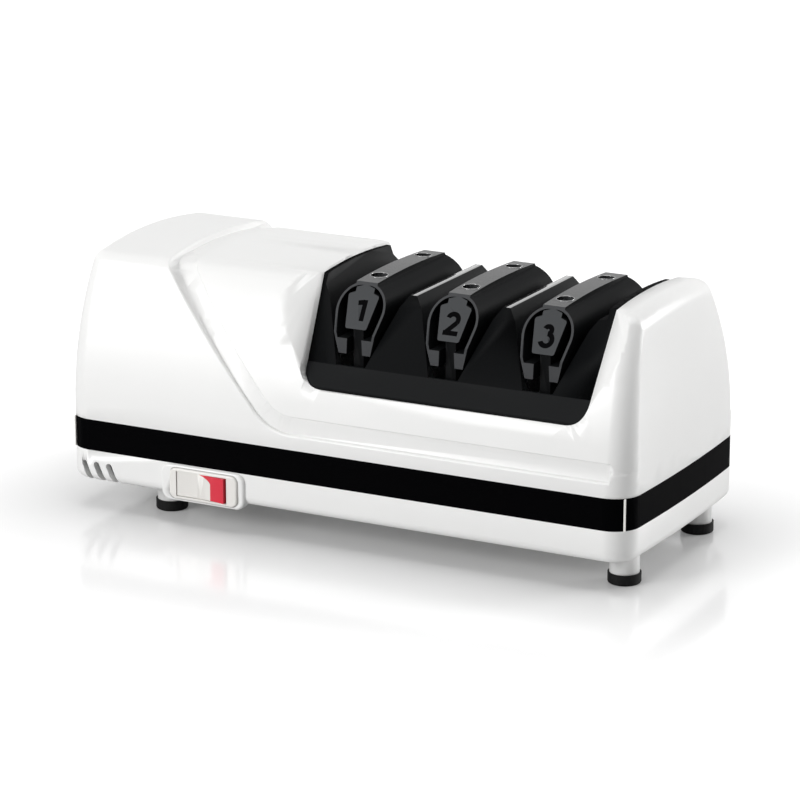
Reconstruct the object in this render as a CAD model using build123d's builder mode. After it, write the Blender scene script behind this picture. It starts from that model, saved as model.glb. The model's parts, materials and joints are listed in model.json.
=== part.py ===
"""Three-stage electric knife sharpener, built as the pieces it comes apart into.

Units are millimetres. +X runs along the length with the motor at -X, -Y is the front, +Z is up.
The origin is under the middle of the machine, on the surface that its feet stand on.
"""
from build123d import *
from math import cos, pi, radians, sin, sqrt, tan
import os

# ---- housing ----
LENGTH = 254.0                 # over the bulged ends
DEPTH = 108.4                  # over the band, front to back
END_BULGE = 1.8                # how far each end swells at its middle
CORNER_RADIUS = 11.0           # plan corners at the band
TOP_CORNER_RADIUS = 6.0        # plan corners at the top
WALL = 3.0
BASE_UNDERSIDE = 12.4          # ground clearance under the tray
BAND_BOTTOM = 25.7
BAND_TOP = 38.7
BAND_THICKNESS = 1.3
BAND_SEAM = LENGTH / 2 - 4.3  # where the front strip of the band ends, each side
BAND_GAP = 0.5
SPLIT_HEIGHT = 32.2            # parting plane of housing and tray, behind the band
MOTOR_BLOCK_TOP = 109.0        # crown over the motor
STAGE_BLOCK_TOP = 107.4        # crown over the stages, one step lower
TOP_CROWN_RADIUS = 255.0
TOP_EDGE_RADIUS = 7.0
FRONT_LEAN_RADIUS = 172.0      # the faces lean inwards along arcs above the band
END_LEAN_RADIUS = 420.0
PANEL_LEAN_RADIUS = 107.0      # the panel round the stages leans in more
PANEL_SET_BACK = 0.8
PANEL_START = 45.0
TRAY_EDGE_RADIUS = 4.0
LEFT_END = -LENGTH / 2
RIGHT_END = LENGTH / 2
BACK_FACE_Y = DEPTH / 2        # over the band

# ---- swept groove that parts the motor block from the panel ----
GROOVE_WIDTH = 7.0
GROOVE_DEPTH = 1.0
GROOVE_LEVEL = 48.3            # its level run above the band
GROOVE_TOP_X = LEFT_END + 45.8  # where it crosses the top
GROOVE_CORNER_X = LEFT_END + 97.8  # where the slope would meet the level run
GROOVE_SLOPE = 48.2            # degrees from level
GROOVE_BEND_RADIUS = 19.0
GROOVE_TOP_BEND_RADIUS = 6.0
GROOVE_END_X = RIGHT_END - 9.5
GROOVE_MOTOR_EDGE = 1.0         # rounding of the groove's two edges
GROOVE_PANEL_EDGE = 0.5

# ---- well for the guides ----
WELL_RIGHT = RIGHT_END - 20.9  # at the sill
WELL_SILL = 64.0
WELL_FLARE = 2.3               # each side opens out this much by the top
WELL_CORNER = 10.0
BEVEL_START = 71.0             # tapered bevel on the well's upright edges
BEVEL_WIDTH = 8.8              # at the top of the panel
BEVEL_DEPTH = 5.4

# ---- sharpening stages ----
STAGES = 3
STAGE_PITCH = 40.65
STAGE_TO_WELL_RIGHT = 24.05
STAGE_TO_WELL_LEFT = 18.85
STAGE_FIRST_X = WELL_RIGHT - STAGE_TO_WELL_RIGHT - (STAGES - 1) * STAGE_PITCH
WELL_LEFT = STAGE_FIRST_X - STAGE_TO_WELL_LEFT
SHAFT_HEIGHT = 50.0
SHAFT_RADIUS = 4.0
SHAFT_LEFT = LEFT_END + 11.0
SHAFT_RIGHT = RIGHT_END - 19.0
DISK_RADIUS = 25.5
DISK_BACK_GAP = 1.6            # from the stage's middle to each disk's back face
DISK_RIM_WIDTH = 1.6
DISK_WIDTH = 7.2
DISK_FACE_INNER_RADIUS = 14.0
DISK_RECESS_RADIUS = 12.0
DISK_RECESS_DEPTH = 2.8
DISK_TRAVEL = 1.2
SHAFT_CLEARANCE = 0.05
SHAFT_CHAMFER = 0.5
DISK_HUB_RADIUS = 7.6
PIN_RADIUS = 1.0
PIN_HALF_LENGTH = 7.0
PIN_FROM_MIDDLE = 3.4
PIN_CLEARANCE = 0.25
SPRING_WIRE_RADIUS = 0.5
SPRING_COIL_RADIUS = 9.0
SPRING_TURNS = 3.0

# ---- guide housing ----
FIT = 0.3                      # gap between neighbouring mouldings
GUIDE_WALL = 2.4
GUIDE_BOTTOM = 60.0
GUIDE_FLOOR_TOP = 66.0
GUIDE_FLOOR_THICKNESS = 2.6
GUIDE_LIP = 1.2                # how far the lip stays behind the panel's face
GUIDE_TOP_STEP = 0.9           # side walls stop this far under the panel's top
SILL_EDGE_Z = 65.2
CREASE_Y = BACK_FACE_Y - 10.7
CREASE_Z = 73.0
HUMP_TOP_Y = CREASE_Y - 14.9
HUMP_TOP_Z = 101.0
HUMP_TOP_HALF = 1.5            # half width of the ridge between two stages
FLANK_ANGLE = 21.7             # the face that a knife lies against, from upright
FLANK_FLARE_Z = 96.4           # above it the flank turns out to the ridge
FLANK_FOOT = 6.3               # half width between the flanks at the crease
CHAMBER_GAP = 2.0              # room round a pair of disks

# ---- guide springs, bars and screws ----
ARCH_TOP = 104.6
ARCH_HALF = 13.0               # half width where leg and top would meet
ARCH_SHOULDER_RADIUS = 9.5
ARCH_WALL = 1.0
ARCH_LAND_HALF = 4.7           # half width of the raised strip along the top
ARCH_LAND_RISE = 0.7
ARCH_FRONT = CREASE_Y - 3.3
ARCH_BEND_Z = 85.5             # the ends are upright below and lean back above
ARCH_LEAN = 31.0
PAD_TOP = 83.4
PAD_BOTTOM = 77.2
PAD_OUTER_TOP = 8.5
PAD_OUTER_BOTTOM = 7.0
PAD_INNER = 3.2
BAR_NECK_HALF = 4.0
BAR_SHOULDER_HALF = 6.8
BAR_SHOULDER_Z = 100.4
BAR_FOOT_HALF = 4.6
BAR_TOP_HALF = 1.0             # half of its flat top; the corners slope away from the arch
BAR_TOP_DROP = 0.9
BAR_BOTTOM = 87.3
BAR_CORNER = 0.9
BAR_LEG_HALF = 2.2
BAR_LEG_INNER_Y = ARCH_FRONT - 11.2
BAR_LEG_OUTER_Y = ARCH_FRONT - 3.7
NUMERAL_HEIGHT = 9.8
NUMERAL_WIDTH = 6.4
NUMERAL_STROKE = 2.0
NUMERAL_DEPTH = 0.5
NUMERAL_RECESS = 0.12
TOP_SCREW_Y = 19.0
TOP_SCREW_HOLE = 3.5
TOP_SCREW_HEAD = 3.0
TOP_SCREW_HEAD_HEIGHT = 1.7
TOP_SCREW_SINK = 0.6           # head below the bar's top
TOP_SCREW_SHANK = 1.4
TOP_SCREW_LENGTH = 11.0
ARCH_CROWN_RADIUS = 420.0
LEG_MIDDLE_Y = (BAR_LEG_INNER_Y + BAR_LEG_OUTER_Y) / 2
LEG_SCREW_SHANK = 1.1
LEG_SCREW_HEAD = 2.2
LEG_SCREW_HEAD_HEIGHT = 1.2
LEG_SCREW_LENGTH = 10.0
LEG_SCREW_TOP = 74.0

# ---- steel guide plates and magnets in the flanks ----
PLATE_THICKNESS = 0.8
PLATE_LOW = 68.5
PLATE_HIGH = 79.0
PLATE_HALF_LENGTH = CREASE_Y - 5.0
MAGNET_THICKNESS = 1.6
MAGNET_HEIGHT = 7.0
MAGNET_LENGTH = 40.0
MAGNET_Z = 84.5

# ---- feet ----
FOOT_RADIUS = 6.6
FOOT_HEIGHT = 4.4
FOOT_EDGE = 0.9
FOOT_Y = BACK_FACE_Y - 18.5
FOOT_RIGHT_X = RIGHT_END - 10.6
FOOT_LEFT_X = LEFT_END + 40.1
POST_RADIUS = 5.9
SPIGOT_RADIUS = 3.4
SPIGOT_BOTTOM = 1.6

# ---- switch ----
SWITCH_X = LEFT_END + 66.3
SWITCH_Z = 18.0
SURROUND_WIDTH = 38.4          # raised frame on the tray
SURROUND_HEIGHT = 15.2
SURROUND_PROUD = 1.3
SURROUND_CORNER = 4.0
SURROUND_EDGE = 1.1
BEZEL_X = LEFT_END + 67.1
BEZEL_WIDTH = 31.4
BEZEL_HEIGHT = 13.0
BEZEL_PROUD = 2.2
BEZEL_BACK = 3.2               # how far it reaches behind the tray's face
BEZEL_CORNER = 3.0
BEZEL_EDGE = 0.8
BEZEL_GAP = 0.2
ROCKER_HALF = 11.2
ROCKER_HEIGHT = 10.2
ROCKER_GAP = 0.5
ROCKER_SIDE_GAP = 0.2
ROCKER_PROUD = 1.1
ROCKER_DISH = 1.0
ROCKER_AXIS_INSET = 1.0        # axis behind the tray's front face
ROCKER_SWING = 8.0             # degrees from one side to the other
ROCKER_BODY_DEPTH = 5.0
ROCKER_BACK_HALF = 8.0
ROCKER_PIN_RADIUS = 0.8
ROCKER_PIN_REACH = 0.9
ROCKER_PIN_CLEARANCE = 0.06
MARKER_THICKNESS = 0.5
MARKER_LEFT = 4.3
SWITCH_BODY_HALF = 13.2
SWITCH_BODY_HALF_HEIGHT = 5.6
SWITCH_BODY_BACK = BACK_FACE_Y - 17.7
SWITCH_CHEEK = 1.3
SWITCH_FRONT_GAP = 7.2         # swing room behind the rocker
POCKET_GAP = 0.4
POCKET_WALL = 1.5
TERMINAL_WIDTH = 4.8
TERMINAL_THICKNESS = 0.8
TERMINAL_LENGTH = 7.0
TERMINAL_SPACING = 14.0

# ---- motor ----
STACK_LEFT = LEFT_END + 39.0
STACK_LENGTH = 34.0
STACK_HALF_Y = 32.0
STACK_BOTTOM = 25.0
STACK_TOP = 93.0
STACK_CORNER = 3.0
ROTOR_RADIUS = 15.5
AIR_GAP = 0.5
FLUX_GAP = 2.0
FLUX_BRIDGE = 3.0              # iron left under the lower flux gap
END_RING_RADIUS = 13.0
END_RING_WIDTH = 2.0
PRESS_CLEARANCE = 0.02
COIL_WINDOW_HALF = 20.0
COIL_WINDOW_HEIGHT = 11.0
LIMB_HEIGHT = 11.0
COIL_GAP = 0.3
COIL_OVERHANG = 7.5
COIL_TOP_BUILD = 9.5
COIL_EDGE = 3.0
BRACKET_THICKNESS = 3.0
BRACKET_STANDOFF = 10.0
BRACKET_HALF_Y = 31.0
BRACKET_TOP = 68.0
END_BRACKET_TOP = 59.5
BRACKET_SEAT = 18.0            # floor of the slots that carry the brackets
BRACKET_SLOT_TOP = 21.0
BRACKET_SLOT_GAP = 0.1
BOSS_OUTER = 10.5
BUSH_OUTER = 7.5
BUSH_LENGTH = 9.0
MOTOR_SCREW_RADIUS = 1.9
MOTOR_SCREW_HEAD = 3.4
MOTOR_SCREW_HEAD_HEIGHT = 2.4
MOTOR_SCREW_Y = 26.0
MOTOR_SCREW_Z = 38.0
STANDOFF_RADIUS = 4.0
FAN_RADIUS = 25.0
FAN_HUB_RADIUS = 8.0
FAN_BACK = 1.5
FAN_BLADES = 9
FAN_BLADE_THICKNESS = 1.4
FAN_WIDTH = 10.0
FAN_LEFT = LEFT_END + 11.5
SUPPORT_X = RIGHT_END - 27.5
SUPPORT_HALF_Y = 20.0

# ---- cord inlet at the back ----
GLAND_X = LEFT_END + 23.0
GLAND_Z = 20.4
GLAND_BORE = 3.6
GLAND_FLANGE = 5.2
GLAND_NECK = 4.4
GLAND_FLANGE_INNER = 1.5
GLAND_LOCK_RADIUS = 4.9        # flange inside the wall

# ---- vents in the tray ----
VENTS = 3
VENT_FIRST_X = LEFT_END + 9.6
VENT_PITCH = 5.9
VENT_WIDTH = 2.7
VENT_TOP = 19.6
VENT_LEAN = 24.0
VENT_REACH = 7.0               # how far they run under the tray's edge

# ---- dressing lever for the last stage ----
LEVER_Z = 57.5
LEVER_THICKNESS = 4.0
LEVER_SLOT_WIDTH = 15.0
LEVER_SLOT_HEIGHT = 5.4
LEVER_PIVOT_Y = BACK_FACE_Y - 16.2
LEVER_ARM_WIDTH = 8.0
LEVER_KNOB_WIDTH = 12.0
LEVER_KNOB_HEIGHT = 9.0
LEVER_PRONG_INNER = 8.8
LEVER_PRONG_WIDTH = 3.0
LEVER_PRONG_TIP_Y = 21.5
LEVER_PIN_RADIUS = 2.0
LEVER_PIN_CLEARANCE = 0.06
LEVER_POST_RADIUS = 4.5
LEVER_HUB_RADIUS = 6.0
LEVER_WALL_GAP = 1.4           # knob to the back wall
DRESSER_THICKNESS = 1.8
DRESSER_LENGTH = 5.0

# ---- clean-out cover under the stages ----
COVER_X = STAGE_FIRST_X + STAGE_PITCH
COVER_LENGTH = 44.0
COVER_WIDTH = 26.0
COVER_PLATE = 1.6
COVER_RIM = 2.0                # ledge that the cover closes against
COVER_SKIRT_HEIGHT = 4.5
COVER_SKIRT_WALL = 1.6
COVER_NOTCH_LENGTH = 14.0
COVER_NOTCH_WIDTH = 6.0
COVER_NOTCH_DEPTH = 0.8
SWARF_MAGNET_THICKNESS = 2.5

# ---- screws that close the housing ----
CASE_SCREW_RADIUS = 1.6
CASE_SCREW_HEAD = 3.0
CASE_SCREW_HEAD_HEIGHT = 2.2
CASE_SCREW_SINK = 6.0
CASE_SCREW_LENGTH = 24.0
CASE_BOSS_RADIUS = 4.4
CASE_BOSS_TOP = 46.0
CASE_LEFT = (LEFT_END + 9.8, BACK_FACE_Y - 8.8)
CASE_MIDDLE = (LEFT_END + 99.0, BACK_FACE_Y - 7.5)
CASE_RIGHT = (RIGHT_END - 7.1, 14.0)

FRONT_REACH = DEPTH / 2 + BEZEL_PROUD + ROCKER_PROUD
STAGE_X = [STAGE_FIRST_X + STAGE_PITCH * i for i in range(STAGES)]
SIDES = (-1, 1)
FAR = 2 * LENGTH
TRAY_FLOOR = BASE_UNDERSIDE + WALL
DISK_OUTER_X = DISK_BACK_GAP + DISK_WIDTH
CHAMBER_RADIUS = DISK_RADIUS + CHAMBER_GAP
CHAMBER_HALF = DISK_OUTER_X + CHAMBER_GAP
STACK_RIGHT = STACK_LEFT + STACK_LENGTH
CASE_SCREWS = [(x, side * y) for x, y in (CASE_LEFT, CASE_MIDDLE, CASE_RIGHT) for side in SIDES]
CASE_SCREW_SEAT = BASE_UNDERSIDE + CASE_SCREW_SINK
FEET = {
    "foot_front_left": (FOOT_LEFT_X, -FOOT_Y),
    "foot_back_left": (FOOT_LEFT_X, FOOT_Y),
    "foot_front_right": (FOOT_RIGHT_X, -FOOT_Y),
    "foot_back_right": (FOOT_RIGHT_X, FOOT_Y),
}


def sagitta(radius, distance):
    """How far an arc of this radius has moved off its tangent after this distance."""
    run = min(max(distance, 0.0), radius * 0.95)
    return radius - sqrt(radius**2 - run**2)


def half_depth(z, panel):
    """Half the housing's depth at a height, for the motor block or the panel."""
    if panel:
        return DEPTH / 2 - PANEL_SET_BACK - sagitta(PANEL_LEAN_RADIUS, z - PANEL_START)
    return DEPTH / 2 - sagitta(FRONT_LEAN_RADIUS, z - BAND_TOP)


def half_length(z):
    """Half the housing's length at its corners at a height."""
    return LENGTH / 2 - END_BULGE - sagitta(END_LEAN_RADIUS, z - BAND_TOP)


def plan_corner(z):
    """Corner radius in plan, which tightens towards the top."""
    share = min(max((z - BAND_TOP) / (MOTOR_BLOCK_TOP - BAND_TOP), 0.0), 1.0)
    return CORNER_RADIUS + (TOP_CORNER_RADIUS - CORNER_RADIUS) * share


def plan_section(z, inset, panel):
    """One level section of the housing, as a face at its height."""
    x = half_length(z) - inset
    y = half_depth(z, panel) - inset
    with BuildSketch(Plane.XY.offset(z)) as section:
        with BuildLine() as outline:
            Line((-x, -y), (x, -y))
            ThreePointArc((x, -y), (x + END_BULGE, 0), (x, y))
            Line((x, y), (-x, y))
            ThreePointArc((-x, y), (-x - END_BULGE, 0), (-x, -y))
        make_face()
        fillet(section.vertices(), max(plan_corner(z) - inset, 1.5))
    return section.sketch


def blank(low, high, inset=0.0, panel=False):
    """The housing's form between two heights, without its crown."""
    steps = 8
    with BuildPart() as solid:
        if low < BAND_TOP:
            extrude(plan_section(low, inset, panel), amount=min(high, BAND_TOP) - low)
        if high > BAND_TOP:
            start = max(low, BAND_TOP)
            levels = [start + (high - start) * i / steps for i in range(steps + 1)]
            loft([plan_section(level, inset, panel) for level in levels])
    return solid.part


def crowned(solid, top, edge_radius):
    """Cut a blank to the crowned top and round its upper edge."""
    far = LENGTH
    side_drop = sagitta(TOP_CROWN_RADIUS, DEPTH / 2)
    with BuildPart() as result:
        add(solid)
        with BuildSketch(Plane.YZ):
            with BuildLine():
                ThreePointArc((-DEPTH / 2, top - side_drop), (0, top), (DEPTH / 2, top - side_drop))
                Polyline((DEPTH / 2, top - side_drop), (DEPTH, top + far), (-DEPTH, top + far),
                         (-DEPTH / 2, top - side_drop))
            make_face()
        extrude(amount=far, both=True, mode=Mode.SUBTRACT)
        if edge_radius:
            crown = result.faces().sort_by(Axis.Z)[-1]
            fillet(crown.edges(), edge_radius)
    return result.part


def side_face(points, corners=()):
    """A face seen from the front, through these corners, some of them rounded."""
    with BuildSketch(Plane.XZ) as section:
        with BuildLine():
            Polyline(*points, close=True)
        make_face()
        for corner, radius in corners:
            fillet(section.vertices().sort_by_distance(corner)[0], radius)
    return section.sketch


def end_face(points, corners=()):
    """A face seen from the right-hand end, through these corners, some of them rounded."""
    with BuildSketch(Plane.YZ) as section:
        with BuildLine():
            Polyline(*points, close=True)
        make_face()
        for corner, radius in corners:
            fillet(section.vertices().sort_by_distance(corner)[0], radius)
    return section.sketch


def mirrored_points(points):
    """Points on one side followed by their reflections, back down the other side."""
    return points + [(-a, b) for a, b in reversed(points)]


def groove_corners(offset):
    """Where the groove's two bends would be sharp, moved towards the motor by an offset."""
    slope = radians(GROOVE_SLOPE)
    rise = (GROOVE_CORNER_X - GROOVE_TOP_X) * tan(slope)
    upper_drop = offset * tan((pi / 2 - slope) / 2)
    upper = (GROOVE_TOP_X - offset, GROOVE_LEVEL + rise - upper_drop)
    lower = (GROOVE_CORNER_X - offset * tan(slope / 2), GROOVE_LEVEL - offset)
    return upper, lower


def groove_side(offset, far_points):
    """Everything on one side of the groove, seen from the front."""
    upper, lower = groove_corners(offset)
    points = [(upper[0], FAR), upper, lower, (GROOVE_END_X, lower[1])]
    points += [(GROOVE_END_X, GROOVE_LEVEL), (FAR, GROOVE_LEVEL)] + far_points
    bends = [(upper, GROOVE_TOP_BEND_RADIUS + offset), (lower, GROOVE_BEND_RADIUS + offset)]
    return side_face(points, bends)


def groove_edges(solid):
    """The edges of a block along the groove, for rounding."""
    cut = []
    for face in solid.faces().filter_by(GeomType.PLANE) + solid.faces().filter_by(GeomType.CYLINDER):
        normal, middle = face.normal_at(), face.center()
        crown = normal.Z > 0.99 and middle.Z > MOTOR_BLOCK_TOP - 5
        if abs(normal.Y) < 0.01 and middle.Z > BAND_TOP + 1 and not crown:
            cut.append(face)
    edges = [edge for face in cut for edge in face.edges() if edge.center().X < GROOVE_END_X - 1]
    return [edge for edge in edges if sum(edge.is_same(other) for other in edges) == 1]


def rounded_block(top, panel, region, edge_radius):
    """The motor block or the panel block, with its edges along the groove rounded."""
    with BuildPart() as block:
        add(crowned(blank(BAND_TOP, top + 3, panel=panel), top, TOP_EDGE_RADIUS))
        extrude(region, amount=LENGTH, both=True, mode=Mode.INTERSECT)
        fillet(groove_edges(block.part), edge_radius)
    return block.part


HALF_GROOVE = GROOVE_WIDTH / 2
MOTOR_SIDE = groove_side(HALF_GROOVE, [(FAR, -FAR), (-FAR, -FAR), (-FAR, FAR)])
PANEL_SIDE = groove_side(-HALF_GROOVE, [(FAR, FAR)])


def well_side(z, right):
    """Where the well's left or right edge is at a height."""
    share = (z - WELL_SILL) / (STAGE_BLOCK_TOP - WELL_SILL)
    return WELL_RIGHT + WELL_FLARE * share if right else WELL_LEFT - WELL_FLARE * share


def well_face(inset=0.0, low=WELL_SILL):
    """The well seen from the front, open at the top; an inset makes it smaller."""
    high = STAGE_BLOCK_TOP + 12
    left_low, right_low = well_side(low, False) + inset, well_side(low, True) - inset
    left_high, right_high = well_side(high, False) + inset, well_side(high, True) - inset
    points = [(left_low, low), (right_low, low), (right_high, high), (left_high, high)]
    corners = [((left_low, low), WELL_CORNER), ((right_low, low), WELL_CORNER)]
    return side_face(points, [(corner, radius - inset) for corner, radius in corners])


def bevel_wedge(right, back, deeper=0.0):
    """What the tapered bevel takes off one upright edge of the well."""
    high = STAGE_BLOCK_TOP - 4.8
    way = 1 if right else -1
    side = 1 if back else -1
    low_edge = (well_side(BEVEL_START, right), side * half_depth(BEVEL_START, True), BEVEL_START)
    high_x, high_y = well_side(high, right), half_depth(high, True)
    outer = (high_x + way * BEVEL_WIDTH, side * high_y, high)
    inner = (high_x, side * (high_y - BEVEL_DEPTH), high)
    along = Vector(*outer) - Vector(*low_edge)
    normal = along.cross(Vector(*inner) - Vector(*low_edge)).normalized()
    if normal.Y * side < 0:
        normal = -normal
    origin = Vector(*low_edge) - normal * deeper
    with BuildPart() as wedge:
        with BuildSketch(Plane(origin=origin, x_dir=along, z_dir=normal)):
            Rectangle(LENGTH, LENGTH)
        extrude(amount=LENGTH / 2)
        with BuildSketch(Plane.XY.offset(WELL_SILL + WELL_CORNER / 2)):
            with Locations((high_x + way * BEVEL_WIDTH / 2, side * DEPTH / 2)):
                Rectangle(4 * BEVEL_WIDTH, DEPTH)
        extrude(amount=LENGTH / 2, mode=Mode.INTERSECT)
    return wedge.part


def post(x, y, low, high, radius):
    """An upright round post."""
    with BuildPart() as column:
        with BuildSketch(Plane.XY.offset(low)):
            with Locations((x, y)):
                Circle(radius)
        extrude(amount=high - low)
    return column.part


def bar_along_x(left, right, y, z, radius):
    """A round bar lying along the length."""
    with BuildPart() as rod:
        with BuildSketch(Plane.YZ.offset(left)):
            with Locations((y, z)):
                Circle(radius)
        extrude(amount=right - left)
    return rod.part


def block(x_low, x_high, y_low, y_high, z_low, z_high, radius=0.0):
    """A box between two corners, with its upright edges rounded if asked."""
    with BuildPart() as box:
        with BuildSketch(Plane.XY.offset(z_low)) as base:
            with Locations(((x_low + x_high) / 2, (y_low + y_high) / 2)):
                Rectangle(x_high - x_low, y_high - y_low)
            if radius:
                fillet(base.vertices(), radius)
        extrude(amount=z_high - z_low)
    return box.part


def front_plate(x, z, width, height, front, back, corner):
    """A rounded rectangle standing in the front, between two depths."""
    with BuildPart() as plate:
        with BuildSketch(Plane.XZ.offset(front)) as face:
            with Locations((x, z)):
                RectangleRounded(width, height, corner)
        extrude(amount=back - front)
    return plate.part


HALF_GROOVE = GROOVE_WIDTH / 2
MOTOR_SIDE = groove_side(HALF_GROOVE, [(FAR, -FAR), (-FAR, -FAR), (-FAR, FAR)])
PANEL_SIDE = groove_side(-HALF_GROOVE, [(FAR, FAR)])
WELL_BEVELS = [(right, back) for right in (False, True) for back in (False, True)]

# ---------------------------------------------------------------- upper housing

HIGH = MOTOR_BLOCK_TOP + 3
ROOM_FLOOR = SPLIT_HEIGHT - 1
ROOM_EDGE = TOP_EDGE_RADIUS - WALL
ROOM_STEP = 0.2

with BuildPart() as motor_room:
    add(crowned(blank(SHAFT_HEIGHT + 10, HIGH, WALL + ROOM_STEP), MOTOR_BLOCK_TOP - WALL, ROOM_EDGE))
    past_groove = groove_side(HALF_GROOVE + WALL, [(FAR, -FAR), (-FAR, -FAR), (-FAR, FAR)])
    extrude(past_groove, amount=LENGTH, both=True, mode=Mode.INTERSECT)

with BuildPart() as room:
    add(crowned(blank(ROOM_FLOOR, HIGH, WALL, panel=True), STAGE_BLOCK_TOP - WALL, ROOM_EDGE))
    add(motor_room.part)
    # the well's two cheeks stay solid, and so does the wall behind each bevel
    for right in (False, True):
        way = 1 if right else -1
        low, high = WELL_SILL - 2 * WALL, STAGE_BLOCK_TOP + WALL
        inner_low, inner_high = well_side(low, right), well_side(high, right)
        cheek = side_face([(inner_low, low), (inner_high, high),
                           (inner_high + way * WALL, high), (inner_low + way * WALL, low)])
        extrude(cheek, amount=LENGTH, both=True, mode=Mode.SUBTRACT)
    for right, back in WELL_BEVELS:
        add(bevel_wedge(right, back, deeper=WALL), mode=Mode.SUBTRACT)

with BuildPart() as upper_housing:
    extrude(plan_section(SPLIT_HEIGHT, BAND_THICKNESS, False), amount=BAND_TOP - SPLIT_HEIGHT)
    add(rounded_block(MOTOR_BLOCK_TOP, False, MOTOR_SIDE, GROOVE_MOTOR_EDGE))
    add(rounded_block(STAGE_BLOCK_TOP, True, PANEL_SIDE, GROOVE_PANEL_EDGE))
    groove_floor = blank(BAND_TOP, HIGH, GROOVE_DEPTH, panel=True)
    add(crowned(groove_floor, STAGE_BLOCK_TOP - GROOVE_DEPTH, TOP_EDGE_RADIUS))
    extrude(well_face(), amount=LENGTH, both=True, mode=Mode.SUBTRACT)
    for right, back in WELL_BEVELS:
        add(bevel_wedge(right, back), mode=Mode.SUBTRACT)
    add(room.part, mode=Mode.SUBTRACT)
    for x, y in CASE_SCREWS:
        add(post(x, y, SPLIT_HEIGHT, CASE_BOSS_TOP, CASE_BOSS_RADIUS))
        pilot_top = CASE_SCREW_SEAT + CASE_SCREW_LENGTH + 1
        add(post(x, y, SPLIT_HEIGHT - 1, pilot_top, CASE_SCREW_RADIUS + PRESS_CLEARANCE), mode=Mode.SUBTRACT)
    # slot for the dressing lever in the back wall
    with BuildSketch(Plane.XZ.offset(-DEPTH / 2 - 1)):
        with Locations((STAGE_X[-1], LEVER_Z)):
            SlotOverall(LEVER_SLOT_WIDTH, LEVER_SLOT_HEIGHT)
    extrude(amount=DEPTH / 4, mode=Mode.SUBTRACT)

# ---------------------------------------------------------------- base tray

RIM_FLOOR = TRAY_FLOOR - 0.5
FRONT = DEPTH / 2
POCKET_HALF = SWITCH_BODY_HALF + POCKET_GAP
POCKET_FRONT = -FRONT + BEZEL_BACK
POCKET_BACK = -SWITCH_BODY_BACK + POCKET_GAP
POCKET_LOW = SWITCH_Z - SWITCH_BODY_HALF_HEIGHT - POCKET_GAP
BRACKET_LEFT = STACK_LEFT - BRACKET_STANDOFF - BRACKET_THICKNESS
BRACKET_RIGHT = STACK_RIGHT + BRACKET_STANDOFF
BRACKETS = [(BRACKET_LEFT, BRACKET_HALF_Y), (BRACKET_RIGHT, BRACKET_HALF_Y), (SUPPORT_X, SUPPORT_HALF_Y)]
BRACKET_TOPS = (BRACKET_TOP, BRACKET_TOP, END_BRACKET_TOP)
LEVER_POST_TOP = LEVER_Z - LEVER_THICKNESS / 2 - 0.5
COVER_HOLE_LENGTH = COVER_LENGTH - 2 * COVER_RIM
COVER_HOLE_WIDTH = COVER_WIDTH - 2 * COVER_RIM

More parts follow.
